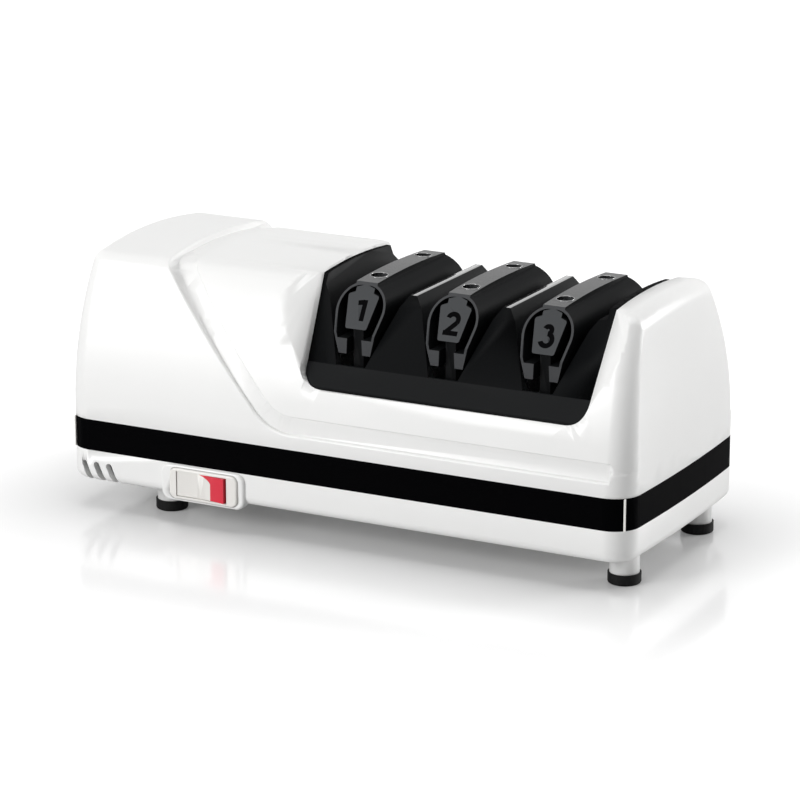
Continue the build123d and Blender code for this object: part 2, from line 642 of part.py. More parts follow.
with BuildPart() as base_tray:
    extrude(plan_section(BASE_UNDERSIDE, 0, False), amount=BAND_BOTTOM - BASE_UNDERSIDE)
    fillet(base_tray.faces().sort_by(Axis.Z)[0].edges(), TRAY_EDGE_RADIUS)
    extrude(plan_section(BAND_BOTTOM, BAND_THICKNESS, False), amount=SPLIT_HEIGHT - BAND_BOTTOM)
    extrude(plan_section(TRAY_FLOOR, WALL, False), amount=SPLIT_HEIGHT, mode=Mode.SUBTRACT)
    # raised frame round the switch, and the pocket behind it
    frame = front_plate(SWITCH_X, SWITCH_Z, SURROUND_WIDTH, SURROUND_HEIGHT,
                        FRONT + SURROUND_PROUD, FRONT - WALL, SURROUND_CORNER)
    add(frame)
    fillet(base_tray.faces().sort_by(Axis.Y)[0].edges(), SURROUND_EDGE)
    add(block(SWITCH_X - POCKET_HALF - POCKET_WALL, SWITCH_X + POCKET_HALF + POCKET_WALL,
              -FRONT + 1, POCKET_BACK + POCKET_WALL, SWITCH_Z - SURROUND_HEIGHT / 2, TRAY_FLOOR))
    add(block(SWITCH_X - POCKET_HALF, SWITCH_X + POCKET_HALF, POCKET_FRONT, POCKET_BACK,
              POCKET_LOW, BAND_BOTTOM - 1), mode=Mode.SUBTRACT)
    add(front_plate(BEZEL_X, SWITCH_Z, BEZEL_WIDTH + 2 * BEZEL_GAP, BEZEL_HEIGHT + 2 * BEZEL_GAP,
                    FRONT + 5, FRONT - BEZEL_BACK, BEZEL_CORNER + BEZEL_GAP), mode=Mode.SUBTRACT)
    # slotted pedestals that carry the shaft's three brackets
    for x, half in BRACKETS:
        middle = x + BRACKET_THICKNESS / 2
        slot = BRACKET_THICKNESS / 2 + BRACKET_SLOT_GAP
        add(block(middle - slot - WALL, middle + slot + WALL, -half - WALL, half + WALL,
                  RIM_FLOOR, BRACKET_SLOT_TOP))
        add(block(middle - slot, middle + slot, -half - BRACKET_SLOT_GAP, half + BRACKET_SLOT_GAP,
                  BRACKET_SEAT, BRACKET_SLOT_TOP + 1), mode=Mode.SUBTRACT)
    # legs for the feet, with spigots
    for x, y in FEET.values():
        add(post(x, y, FOOT_HEIGHT, RIM_FLOOR, POST_RADIUS))
        add(post(x, y, SPIGOT_BOTTOM, FOOT_HEIGHT + 1, SPIGOT_RADIUS))
    # screw posts
    for x, y in CASE_SCREWS:
        add(post(x, y, RIM_FLOOR, SPLIT_HEIGHT, CASE_BOSS_RADIUS))
        add(post(x, y, BASE_UNDERSIDE, CASE_SCREW_SEAT, CASE_SCREW_HEAD + 0.2), mode=Mode.SUBTRACT)
        add(post(x, y, BASE_UNDERSIDE, SPLIT_HEIGHT + 1, CASE_SCREW_RADIUS + 0.1), mode=Mode.SUBTRACT)
    # post for the dressing lever's pin
    add(post(STAGE_X[-1], LEVER_PIVOT_Y, RIM_FLOOR, LEVER_POST_TOP, LEVER_POST_RADIUS))
    add(post(STAGE_X[-1], LEVER_PIVOT_Y, LEVER_POST_TOP - 10, LEVER_POST_TOP + 1,
             LEVER_PIN_RADIUS + PRESS_CLEARANCE), mode=Mode.SUBTRACT)
    # clean-out opening, with a ledge that the cover closes against
    add(block(COVER_X - COVER_LENGTH / 2 - FIT, COVER_X + COVER_LENGTH / 2 + FIT,
              -COVER_WIDTH / 2 - FIT, COVER_WIDTH / 2 + FIT,
              BASE_UNDERSIDE - 1, BASE_UNDERSIDE + COVER_PLATE, 3.0), mode=Mode.SUBTRACT)
    add(block(COVER_X - COVER_HOLE_LENGTH / 2, COVER_X + COVER_HOLE_LENGTH / 2,
              -COVER_HOLE_WIDTH / 2, COVER_HOLE_WIDTH / 2,
              BASE_UNDERSIDE - 1, TRAY_FLOOR + 1, 2.0), mode=Mode.SUBTRACT)
    # vents
    for i in range(VENTS):
        vent_low = BASE_UNDERSIDE - 2
        with BuildSketch(Plane.XZ.offset(FRONT - VENT_REACH)):
            top_x = VENT_FIRST_X + VENT_PITCH * i
            with Locations(Location((top_x, VENT_TOP, 0), (0, 0, VENT_LEAN))):
                with Locations((0, -(VENT_TOP - vent_low) / 2)):
                    SlotOverall(VENT_TOP - vent_low + VENT_WIDTH, VENT_WIDTH, rotation=90)
        extrude(amount=FRONT, mode=Mode.SUBTRACT)
    # hole for the cord's gland in the back wall
    with BuildSketch(Plane.XZ.offset(-FRONT - 1)):
        with Locations((GLAND_X, GLAND_Z)):
            Circle(GLAND_NECK + PRESS_CLEARANCE)
    extrude(amount=2 * WALL, mode=Mode.SUBTRACT)

# ---------------------------------------------------------------- band

with BuildPart() as band_ring:
    extrude(plan_section(BAND_BOTTOM, 0, False), amount=BAND_TOP - BAND_BOTTOM)
    extrude(plan_section(BAND_BOTTOM, BAND_THICKNESS, False), amount=BAND_TOP, mode=Mode.SUBTRACT)

with BuildPart() as front_band:
    add(band_ring.part)
    add(block(-BAND_SEAM, BAND_SEAM, -DEPTH, 0, 0, DEPTH), mode=Mode.INTERSECT)

with BuildPart() as wrap_band:
    add(band_ring.part)
    add(block(-BAND_SEAM - BAND_GAP, BAND_SEAM + BAND_GAP, -DEPTH, 0, 0, DEPTH), mode=Mode.SUBTRACT)

# ---------------------------------------------------------------- guide housing

def flank_x(z):
    """Half width between the two flanks of a stage, the faces that a blade lies against."""
    return FLANK_FOOT + (z - CREASE_Z) * tan(radians(FLANK_ANGLE))


def lean_y(z, setback=0.0):
    """Depth of the ridges' leaning end faces at a height."""
    share = (z - CREASE_Z) / (HUMP_TOP_Z - CREASE_Z)
    return CREASE_Y + (HUMP_TOP_Y - CREASE_Y) * share - setback


RIDGE_HALF = STAGE_PITCH / 2 - HUMP_TOP_HALF
SILL_Y = half_depth(SILL_EDGE_Z, True) - GUIDE_LIP
PLUG_Y = half_depth(WELL_SILL, True) - WALL - FIT
PLUG_TOP = WELL_SILL + 0.8
WALL_SLANT = GUIDE_WALL / cos(radians(FLANK_ANGLE))
GUIDE_HIGH = STAGE_BLOCK_TOP + 2
SLOT_Y = CREASE_Y - GUIDE_WALL / 2


def end_profile(inset, top, low, low_y):
    """The guide housing seen from the end: sill, crease and leaning faces."""
    return end_face(mirrored_points([
        (low_y - inset, low), (low_y - inset, WELL_SILL), (SILL_Y - inset, WELL_SILL),
        (SILL_Y - inset, SILL_EDGE_Z - inset / 4),
        (CREASE_Y - inset, CREASE_Z - inset / 2), (lean_y(top, inset), top)]))


def flank_strip(x, side, low, high, near, thickness):
    """A strip that lies along one flank, seen from the front."""
    return side_face([
        (x + side * (flank_x(low) + near), low), (x + side * (flank_x(high) + near), high),
        (x + side * (flank_x(high) + near + thickness), high),
        (x + side * (flank_x(low) + near + thickness), low)])


def chamber(x):
    """Round room for a pair of disks."""
    return bar_along_x(x - CHAMBER_HALF, x + CHAMBER_HALF, 0, SHAFT_HEIGHT, CHAMBER_RADIUS)


PLATE_SLANT = PLATE_THICKNESS / cos(radians(FLANK_ANGLE))
HOLLOW_TOP = HUMP_TOP_Z - 3 * GUIDE_WALL
END_HOLLOW_TOP = HUMP_TOP_Z - 5 * GUIDE_WALL
FLOOR_HALF = flank_x(GUIDE_FLOOR_TOP)
SIDE_WALL = GUIDE_WALL + FIT

with BuildPart() as guide_block:
    # what shows in the well, and the plug that goes down inside the panel's front and back walls
    extrude(well_face(FIT), amount=LENGTH, both=True)
    plug = [(well_side(z, right) + (-FIT if right else FIT), z)
            for z, right in ((GUIDE_BOTTOM, False), (GUIDE_BOTTOM, True), (PLUG_TOP, True), (PLUG_TOP, False))]
    extrude(side_face(plug), amount=PLUG_Y, both=True)
    extrude(end_profile(0, GUIDE_HIGH, GUIDE_BOTTOM - 1, PLUG_Y), amount=LENGTH, both=True, mode=Mode.INTERSECT)
    crown = crowned(blank(GUIDE_BOTTOM - 1, HIGH, GUIDE_TOP_STEP, panel=True), STAGE_BLOCK_TOP - GUIDE_TOP_STEP, 0)
    add(crown, mode=Mode.INTERSECT)
    # above the ridges only the two side walls stand
    top_left = STAGE_X[0] - RIDGE_HALF
    top_right = well_side(HUMP_TOP_Z, True) - FIT - GUIDE_WALL - 1
    extrude(side_face([(top_left, HUMP_TOP_Z), (top_right, HUMP_TOP_Z), (top_right, GUIDE_HIGH + 9),
                       (top_left, GUIDE_HIGH + 9)]), amount=LENGTH, both=True, mode=Mode.SUBTRACT)
    for x in STAGE_X:
        upper = mirrored_points([(flank_x(CREASE_Z), CREASE_Z), (flank_x(FLANK_FLARE_Z), FLANK_FLARE_Z),
                                 (RIDGE_HALF, HUMP_TOP_Z), (RIDGE_HALF, GUIDE_HIGH + 9)])
        lower = mirrored_points([(FLOOR_HALF, GUIDE_FLOOR_TOP), (flank_x(CREASE_Z), CREASE_Z),
                                 (flank_x(CREASE_Z), CREASE_Z + 1)])
        extrude(side_face([(x + a, z) for a, z in upper]), amount=LENGTH, both=True, mode=Mode.SUBTRACT)
        extrude(side_face([(x + a, z) for a, z in lower]), amount=SLOT_Y, both=True, mode=Mode.SUBTRACT)

with BuildPart() as guide_hollow:
    # inside of the ridges, walls left all round
    for i in range(STAGES + 1):
        top = HOLLOW_TOP if 0 < i < STAGES else END_HOLLOW_TOP
        if i == 0:
            left_low, left_high = (well_side(z, False) + SIDE_WALL for z in (GUIDE_BOTTOM, top))
        else:
            left_low = STAGE_X[i - 1] + FLOOR_HALF + WALL_SLANT
            left_high = STAGE_X[i - 1] + flank_x(top) + WALL_SLANT
        if i == STAGES:
            right_low, right_high = (well_side(z, True) - SIDE_WALL for z in (GUIDE_BOTTOM, top))
        else:
            right_low = STAGE_X[i] - FLOOR_HALF - WALL_SLANT
            right_high = STAGE_X[i] - flank_x(top) - WALL_SLANT
        points = [(left_low, GUIDE_BOTTOM - 1), (left_low, GUIDE_FLOOR_TOP), (left_high, top)]
        points += [(right_high, top), (right_low, GUIDE_FLOOR_TOP), (right_low, GUIDE_BOTTOM - 1)]
        extrude(side_face(points), amount=LENGTH, both=True)
    extrude(end_profile(GUIDE_WALL, HOLLOW_TOP + 1, GUIDE_BOTTOM - 2, PLUG_Y), amount=LENGTH, both=True,
            mode=Mode.INTERSECT)

with BuildPart() as guide_housing:
    add(guide_block.part)
    add(guide_hollow.part, mode=Mode.SUBTRACT)
    # shallow room under each stage's floor
    under_left = well_side(GUIDE_BOTTOM, False) + SIDE_WALL
    under_right = well_side(GUIDE_BOTTOM, True) - SIDE_WALL
    add(block(under_left, under_right, GUIDE_WALL - PLUG_Y, PLUG_Y - GUIDE_WALL,
              GUIDE_BOTTOM - 1, GUIDE_FLOOR_TOP - GUIDE_FLOOR_THICKNESS), mode=Mode.SUBTRACT)
    for x in STAGE_X:
        for side in SIDES:
            extrude(flank_strip(x, side, PLATE_LOW, PLATE_HIGH, 0, PLATE_SLANT),
                    amount=PLATE_HALF_LENGTH, both=True, mode=Mode.SUBTRACT)
        add(chamber(x), mode=Mode.SUBTRACT)
        for side in SIDES:
            for leg_y in (-LEG_MIDDLE_Y, LEG_MIDDLE_Y):
                add(post(x, leg_y, GUIDE_BOTTOM, GUIDE_FLOOR_TOP + 1, LEG_SCREW_SHANK + 0.1), mode=Mode.SUBTRACT)

guide_plates = {}
for i, x in enumerate(STAGE_X):
    for side, side_name in ((-1, "left"), (1, "right")):
        with BuildPart() as guide_plate:
            extrude(flank_strip(x, side, PLATE_LOW, PLATE_HIGH, 0, PLATE_SLANT), amount=PLATE_HALF_LENGTH, both=True)
            add(chamber(x), mode=Mode.SUBTRACT)
        guide_plates[f"guide_plate_{i + 1}_{side_name}"] = guide_plate.part

with BuildPart() as guide_magnets:
    for x in STAGE_X:
        for side in SIDES:
            low, high = MAGNET_Z - MAGNET_HEIGHT / 2, MAGNET_Z + MAGNET_HEIGHT / 2
            slant = MAGNET_THICKNESS / cos(radians(FLANK_ANGLE))
            extrude(flank_strip(x, side, low, high, WALL_SLANT, slant), amount=MAGNET_LENGTH / 2, both=True)

# ---------------------------------------------------------------- guide springs and bars

ARCH_PEAK = ARCH_TOP + 0.6
ARCH_INNER_TOP = ARCH_TOP - 1.6
ARCH_SHOULDER_TOP = ARCH_TOP - ARCH_LAND_RISE
LEG_RUN = (ARCH_HALF - PAD_OUTER_TOP) / (ARCH_SHOULDER_TOP - PAD_TOP)
ARCH_SLANT_WALL = ARCH_WALL * sqrt(1 + LEG_RUN ** 2)
LAND_BOTTOM = ARCH_SHOULDER_TOP - ARCH_SHOULDER_RADIUS / 2
LEAN = radians(ARCH_LEAN)
GUIDE_END_TOP = ARCH_FRONT - (ARCH_PEAK + 2 - ARCH_BEND_Z) * tan(LEAN)


def guide_end_profile():
    """The springs and bars seen from the end: upright ends that lean back above a bend."""
    return end_face(mirrored_points([
        (ARCH_FRONT, PAD_BOTTOM - 20), (ARCH_FRONT, ARCH_BEND_Z), (GUIDE_END_TOP, ARCH_PEAK + 2)]))


def top_crown():
    """The shallow crown along the top of the springs, seen from the end."""
    drop = sagitta(ARCH_CROWN_RADIUS, ARCH_FRONT)
    with BuildSketch(Plane.YZ) as section:
        with BuildLine():
            ThreePointArc((-ARCH_FRONT, ARCH_PEAK - drop), (0, ARCH_PEAK), (ARCH_FRONT, ARCH_PEAK - drop))
            Polyline((ARCH_FRONT, ARCH_PEAK - drop), (ARCH_FRONT, 0), (-ARCH_FRONT, 0),
                     (-ARCH_FRONT, ARCH_PEAK - drop))
        make_face()
    return section.sketch


def guide_spring_part(x):
    """A spring arch over a guide bar, with the two feet that press on a blade."""
    inner_foot = PAD_OUTER_TOP - ARCH_SLANT_WALL
    inner_half = ARCH_HALF - ARCH_SLANT_WALL - LEG_RUN * (ARCH_SHOULDER_TOP - ARCH_INNER_TOP)
    outer = [(PAD_OUTER_TOP, PAD_TOP), (ARCH_HALF, ARCH_SHOULDER_TOP)]
    inner = [(inner_foot - LEG_RUN, PAD_TOP - 1), (inner_half, ARCH_INNER_TOP)]
    with BuildPart() as spring:
        shoulders = [((x + side * ARCH_HALF, ARCH_SHOULDER_TOP), ARCH_SHOULDER_RADIUS) for side in SIDES]
        extrude(side_face([(x + a, z) for a, z in mirrored_points(outer)], shoulders), amount=DEPTH, both=True)
        add(block(x - ARCH_LAND_HALF, x + ARCH_LAND_HALF, -DEPTH, DEPTH, LAND_BOTTOM, ARCH_PEAK))
        hollow = [((x + side * inner_half, ARCH_INNER_TOP), ARCH_SHOULDER_RADIUS - ARCH_WALL) for side in SIDES]
        extrude(side_face([(x + a, z) for a, z in mirrored_points(inner)], hollow), amount=DEPTH, both=True,
                mode=Mode.SUBTRACT)
        for side in SIDES:
            pad = [(PAD_INNER, PAD_TOP), (PAD_OUTER_TOP, PAD_TOP), (PAD_OUTER_BOTTOM, PAD_BOTTOM),
                   (PAD_INNER + 0.3, PAD_BOTTOM)]
            extrude(side_face([(x + side * a, z) for a, z in pad]), amount=DEPTH, both=True)
        extrude(guide_end_profile(), amount=LENGTH, both=True, mode=Mode.INTERSECT)
        extrude(top_crown(), amount=LENGTH, both=True, mode=Mode.INTERSECT)
        for y in (-TOP_SCREW_Y, TOP_SCREW_Y):
            add(post(x, y, ARCH_INNER_TOP - 1, ARCH_PEAK + 1, TOP_SCREW_HOLE), mode=Mode.SUBTRACT)
    return spring.part


SCREW_SEAT = ARCH_INNER_TOP - TOP_SCREW_SINK - TOP_SCREW_HEAD_HEIGHT


def guide_bar_part(x):
    """The bar inside a spring arch: number plate at each end, legs down to the housing."""
    half = [(BAR_FOOT_HALF, BAR_BOTTOM), (BAR_SHOULDER_HALF, BAR_SHOULDER_Z - BAR_CORNER),
            (BAR_NECK_HALF, BAR_SHOULDER_Z), (BAR_NECK_HALF, ARCH_INNER_TOP - BAR_TOP_DROP),
            (BAR_TOP_HALF, ARCH_INNER_TOP)]
    rounded = [half[0], half[1]]
    with BuildPart() as bar:
        corners = [((x + side * a, z), BAR_CORNER) for a, z in rounded for side in SIDES]
        extrude(side_face([(x + a, z) for a, z in mirrored_points(half)], corners), amount=DEPTH, both=True)
        for side in SIDES:
            near, far = sorted((side * BAR_LEG_INNER_Y, side * BAR_LEG_OUTER_Y))
            add(block(x - BAR_LEG_HALF, x + BAR_LEG_HALF, near, far, GUIDE_FLOOR_TOP, BAR_BOTTOM + 2))
            add(post(x, side * LEG_MIDDLE_Y, GUIDE_FLOOR_TOP - 1, LEG_SCREW_TOP,
                     LEG_SCREW_SHANK + PRESS_CLEARANCE), mode=Mode.SUBTRACT)
            add(post(x, side * TOP_SCREW_Y, SCREW_SEAT, ARCH_PEAK, TOP_SCREW_HEAD + 0.2), mode=Mode.SUBTRACT)
            add(post(x, side * TOP_SCREW_Y, SCREW_SEAT - TOP_SCREW_LENGTH - 0.5, ARCH_PEAK,
                     TOP_SCREW_SHANK + PRESS_CLEARANCE), mode=Mode.SUBTRACT)
        extrude(guide_end_profile(), amount=LENGTH, both=True, mode=Mode.INTERSECT)
    return bar.part


def numeral(number, plane):
    """The strokes of a numeral on a plane, centred on it."""
    half_stroke = NUMERAL_STROKE / 2
    side, top = (NUMERAL_WIDTH - NUMERAL_STROKE) / 2, NUMERAL_HEIGHT / 2 - half_stroke
    waist = 0.1 * NUMERAL_HEIGHT * (number == 3)
    if number == 1:
        stem, flag_tip = 0.22 * NUMERAL_WIDTH, -0.25 * NUMERAL_WIDTH
        lines = [Line((stem, -top), (stem, top + half_stroke)), Line((stem, top), (flag_tip, top - half_stroke / 2))]
    elif number == 2:
        bow = CenterArc((0, top - side), side, 165, -200)
        lines = [bow, Line(bow @ 1, (-side, -top)), Line((-side - half_stroke, -top), (side + half_stroke, -top))]
    else:
        upper_bow, lower_bow = (top - waist) / 2, (top + waist) / 2
        lines = [CenterArc((0, top - upper_bow), upper_bow, 160, -250),
                 CenterArc((0, lower_bow - top), lower_bow, 90, -250)]
    with BuildSketch(plane) as strokes:
        for line in lines:
            trace(line, line_width=NUMERAL_STROKE)
    return strokes.sketch


NUMERAL_Z = (BAR_BOTTOM + BAR_SHOULDER_Z) / 2 - 0.2


def plate_plane(x, sunk):
    """The leaning face of a number plate, sunk by a depth."""
    y = -ARCH_FRONT + (NUMERAL_Z - ARCH_BEND_Z) * tan(LEAN)
    normal = Vector(0, -cos(LEAN), sin(LEAN))
    return Plane(origin=Vector(x, y, NUMERAL_Z) - normal * sunk, x_dir=(1, 0, 0), z_dir=normal)


guide_springs, guide_bars = {}, {}
for i, x in enumerate(STAGE_X):
    with BuildPart() as guide_spring:
        add(guide_spring_part(x))
    with BuildPart() as guide_bar:
        add(guide_bar_part(x))
        extrude(numeral(i + 1, plate_plane(x, 0)), amount=-NUMERAL_DEPTH, mode=Mode.SUBTRACT)
    guide_springs[f"guide_spring_{i + 1}"] = guide_spring.part
    guide_bars[f"guide_bar_{i + 1}"] = guide_bar.part

with BuildPart() as stage_numbers:
    for i, x in enumerate(STAGE_X):
        extrude(numeral(i + 1, plate_plane(x, NUMERAL_RECESS)), amount=NUMERAL_RECESS - NUMERAL_DEPTH)

with BuildPart() as guide_screws:
    for x in STAGE_X:
        for y in (-TOP_SCREW_Y, TOP_SCREW_Y):
            add(post(x, y, SCREW_SEAT, SCREW_SEAT + TOP_SCREW_HEAD_HEIGHT, TOP_SCREW_HEAD))
            add(post(x, y, SCREW_SEAT - TOP_SCREW_LENGTH, SCREW_SEAT, TOP_SCREW_SHANK))
            with BuildSketch(Plane.XY.offset(SCREW_SEAT + TOP_SCREW_HEAD_HEIGHT)):
                with Locations((x, y)):
                    Rectangle(2 * TOP_SCREW_SHANK, 0.7)
                    Rectangle(0.7, 2 * TOP_SCREW_SHANK)
            extrude(amount=-0.8, mode=Mode.SUBTRACT)

with BuildPart() as leg_screws:
    floor_low = GUIDE_FLOOR_TOP - GUIDE_FLOOR_THICKNESS
    for x in STAGE_X:
        for y in (-LEG_MIDDLE_Y, LEG_MIDDLE_Y):
            add(post(x, y, floor_low - LEG_SCREW_HEAD_HEIGHT, floor_low, LEG_SCREW_HEAD))
            add(post(x, y, floor_low, floor_low + LEG_SCREW_LENGTH, LEG_SCREW_SHANK))

# ---------------------------------------------------------------- feet

feet = {}
for name, (x, y) in FEET.items():
    with BuildPart() as foot:
        add(post(x, y, 0, FOOT_HEIGHT, FOOT_RADIUS))
        fillet(foot.edges().sort_by(Axis.Z)[0], FOOT_EDGE)
        add(post(x, y, SPIGOT_BOTTOM, FOOT_HEIGHT + 1, SPIGOT_RADIUS), mode=Mode.SUBTRACT)
    feet[name] = foot.part

# ---------------------------------------------------------------- switch

ROCKER_AXIS_Y = -FRONT + ROCKER_AXIS_INSET
PIN_END = ROCKER_HEIGHT / 2 + ROCKER_SIDE_GAP + ROCKER_PIN_REACH

with BuildPart() as switch_bezel:
    add(front_plate(BEZEL_X, SWITCH_Z, BEZEL_WIDTH, BEZEL_HEIGHT, FRONT + BEZEL_PROUD, FRONT - BEZEL_BACK,
                    BEZEL_CORNER))
    fillet(switch_bezel.faces().sort_by(Axis.Y)[0].edges(), BEZEL_EDGE)
    with BuildSketch(Plane.XZ.offset(FRONT + BEZEL_PROUD + 1)):
        with Locations((SWITCH_X, SWITCH_Z)):
            Rectangle(2 * (ROCKER_HALF + ROCKER_GAP), ROCKER_HEIGHT + 2 * ROCKER_SIDE_GAP)
    extrude(amount=-DEPTH / 4, mode=Mode.SUBTRACT)
    add(post(SWITCH_X, ROCKER_AXIS_Y, SWITCH_Z - PIN_END - 0.1, SWITCH_Z + PIN_END + 0.1,
             ROCKER_PIN_RADIUS + ROCKER_PIN_CLEARANCE), mode=Mode.SUBTRACT)


def rocker_outline(left, right, front_shift=0.0, back=None):
    """Plan of the rocker level across, dished along its front, relative to its axis."""
    end_y = -(ROCKER_AXIS_INSET + BEZEL_PROUD + ROCKER_PROUD) + ROCKER_HALF * sin(radians(ROCKER_SWING / 2))
    dish_radius = (ROCKER_HALF ** 2 + ROCKER_DISH ** 2) / (2 * ROCKER_DISH)

    def front_y(a):
        return end_y + ROCKER_DISH - sagitta(dish_radius, abs(a)) + front_shift

    middle = (left + right) / 2
    with BuildSketch(Plane.XY.offset(SWITCH_Z - ROCKER_HEIGHT / 2)) as plan:
        with BuildLine():
            ThreePointArc((left, front_y(left)), (middle, front_y(middle)), (right, front_y(right)))
            if back is None:
                Polyline((right, front_y(right)), (right, 0), (ROCKER_BACK_HALF, ROCKER_BODY_DEPTH),
                         (-ROCKER_BACK_HALF, ROCKER_BODY_DEPTH), (left, 0), (left, front_y(left)))
            else:
                Line((right, front_y(right)), (right, front_y(right) + back))
                ThreePointArc((right, front_y(right) + back), (middle, front_y(middle) + back),
                              (left, front_y(left) + back))
                Line((left, front_y(left) + back), (left, front_y(left)))
        make_face()
    return plan.sketch


def set_rocker(solid):
    """Turn the rocker to its rest side and move it onto its axis."""
    return solid.rotate(Axis.Z, -ROCKER_SWING / 2).moved(Location((SWITCH_X, ROCKER_AXIS_Y, 0)))


with BuildPart() as rocker_level:
    extrude(rocker_outline(-ROCKER_HALF, ROCKER_HALF), amount=ROCKER_HEIGHT)
    add(post(0, 0, SWITCH_Z - PIN_END, SWITCH_Z + PIN_END, ROCKER_PIN_RADIUS))
    extrude(rocker_outline(MARKER_LEFT, ROCKER_HALF, back=MARKER_THICKNESS), amount=ROCKER_HEIGHT,
            mode=Mode.SUBTRACT)

with BuildPart() as marker_level:
    extrude(rocker_outline(MARKER_LEFT, ROCKER_HALF, back=MARKER_THICKNESS), amount=ROCKER_HEIGHT)

with BuildPart() as rocker:
    add(set_rocker(rocker_level.part))

with BuildPart() as rocker_marker:
    add(set_rocker(marker_level.part))

SWITCH_FRONT = -FRONT + SWITCH_FRONT_GAP

with BuildPart() as switch_body:
    low, high = SWITCH_Z - SWITCH_BODY_HALF_HEIGHT, SWITCH_Z + SWITCH_BODY_HALF_HEIGHT
    add(block(SWITCH_X - SWITCH_BODY_HALF, SWITCH_X + SWITCH_BODY_HALF, POCKET_FRONT, -SWITCH_BODY_BACK, low, high))
    add(block(SWITCH_X - SWITCH_BODY_HALF + SWITCH_CHEEK, SWITCH_X + SWITCH_BODY_HALF - SWITCH_CHEEK,
              POCKET_FRONT - 1, SWITCH_FRONT, low - 1, high + 1), mode=Mode.SUBTRACT)

with BuildPart() as switch_terminals:
    for side in SIDES:
        x = SWITCH_X + side * TERMINAL_SPACING / 2
        add(block(x - TERMINAL_WIDTH / 2, x + TERMINAL_WIDTH / 2, -SWITCH_BODY_BACK,
                  -SWITCH_BODY_BACK + TERMINAL_LENGTH, SWITCH_Z - TERMINAL_THICKNESS / 2,
                  SWITCH_Z + TERMINAL_THICKNESS / 2))

# ---------------------------------------------------------------- motor

STACK_MIDDLE = (STACK_BOTTOM + STACK_TOP) / 2
WINDOW_TOP = STACK_TOP - LIMB_HEIGHT
WINDOW_BOTTOM = WINDOW_TOP - COIL_WINDOW_HEIGHT
BORE_RADIUS = ROTOR_RADIUS + AIR_GAP
MOTOR_SCREWS = [(side * MOTOR_SCREW_Y, z) for side in SIDES for z in (MOTOR_SCREW_Z, 2 * SHAFT_HEIGHT - MOTOR_SCREW_Z)]

with BuildPart() as motor_stator:
    with BuildSketch(Plane.YZ.offset(STACK_LEFT)) as lamination:
        with Locations((0, STACK_MIDDLE)):
            RectangleRounded(2 * STACK_HALF_Y, STACK_TOP - STACK_BOTTOM, STACK_CORNER)
        with Locations((0, SHAFT_HEIGHT)):
            Circle(BORE_RADIUS, mode=Mode.SUBTRACT)
        with Locations((0, (WINDOW_TOP + WINDOW_BOTTOM) / 2)):
            Rectangle(2 * COIL_WINDOW_HALF, COIL_WINDOW_HEIGHT, mode=Mode.SUBTRACT)
        # flux gaps between the pole faces, over and under the rotor
        with Locations((0, (SHAFT_HEIGHT + WINDOW_BOTTOM) / 2)):
            Rectangle(FLUX_GAP, WINDOW_BOTTOM - SHAFT_HEIGHT, mode=Mode.SUBTRACT)
        gap_low = STACK_BOTTOM + FLUX_BRIDGE
        with Locations((0, (SHAFT_HEIGHT + gap_low) / 2)):
            Rectangle(FLUX_GAP, SHAFT_HEIGHT - gap_low, mode=Mode.SUBTRACT)
        with Locations(*MOTOR_SCREWS):
            Circle(MOTOR_SCREW_RADIUS + 0.1, mode=Mode.SUBTRACT)
    extrude(amount=STACK_LENGTH)

COIL_LEFT = STACK_LEFT - COIL_OVERHANG
COIL_RIGHT = STACK_RIGHT + COIL_OVERHANG
COIL_HALF_Y = COIL_WINDOW_HALF - COIL_GAP

with BuildPart() as motor_coil:
    add(block(COIL_LEFT, COIL_RIGHT, -COIL_HALF_Y, COIL_HALF_Y, WINDOW_BOTTOM + COIL_GAP, STACK_TOP + COIL_TOP_BUILD))
    fillet(motor_coil.edges().filter_by(Axis.Y), COIL_EDGE)
    add(block(STACK_LEFT, STACK_RIGHT, -STACK_HALF_Y, STACK_HALF_Y, WINDOW_TOP, STACK_TOP), mode=Mode.SUBTRACT)


def bracket_part(left, half_y, top, screw_holes):
    """An upright bracket that carries one of the shaft's bushes in a boss."""
    middle = left + BRACKET_THICKNESS / 2
    with BuildPart() as bracket:
        with BuildSketch(Plane.YZ.offset(left)) as outline:
            with Locations((0, (BRACKET_SEAT + top) / 2)):
                Rectangle(2 * half_y, top - BRACKET_SEAT)
            fillet(outline.vertices().group_by(Axis.Y)[-1], STACK_CORNER)
            for y, z in screw_holes:
                with Locations((y, z)):
                    Circle(MOTOR_SCREW_RADIUS + 0.1, mode=Mode.SUBTRACT)
        extrude(amount=BRACKET_THICKNESS)
        add(bar_along_x(middle - BUSH_LENGTH / 2, middle + BUSH_LENGTH / 2, 0, SHAFT_HEIGHT, BOSS_OUTER))
        add(bar_along_x(middle - BUSH_LENGTH, middle + BUSH_LENGTH, 0, SHAFT_HEIGHT, BUSH_OUTER + PRESS_CLEARANCE),
            mode=Mode.SUBTRACT)
    return bracket.part


def bush_part(left):
    """A sintered bush in a bracket's boss, bored for the turning shaft."""
    middle = left + BRACKET_THICKNESS / 2
    with BuildPart() as bush:
        add(bar_along_x(middle - BUSH_LENGTH / 2, middle + BUSH_LENGTH / 2, 0, SHAFT_HEIGHT, BUSH_OUTER))
        add(bar_along_x(middle - BUSH_LENGTH, middle + BUSH_LENGTH, 0, SHAFT_HEIGHT, SHAFT_RADIUS + SHAFT_CLEARANCE),
            mode=Mode.SUBTRACT)
    return bush.part


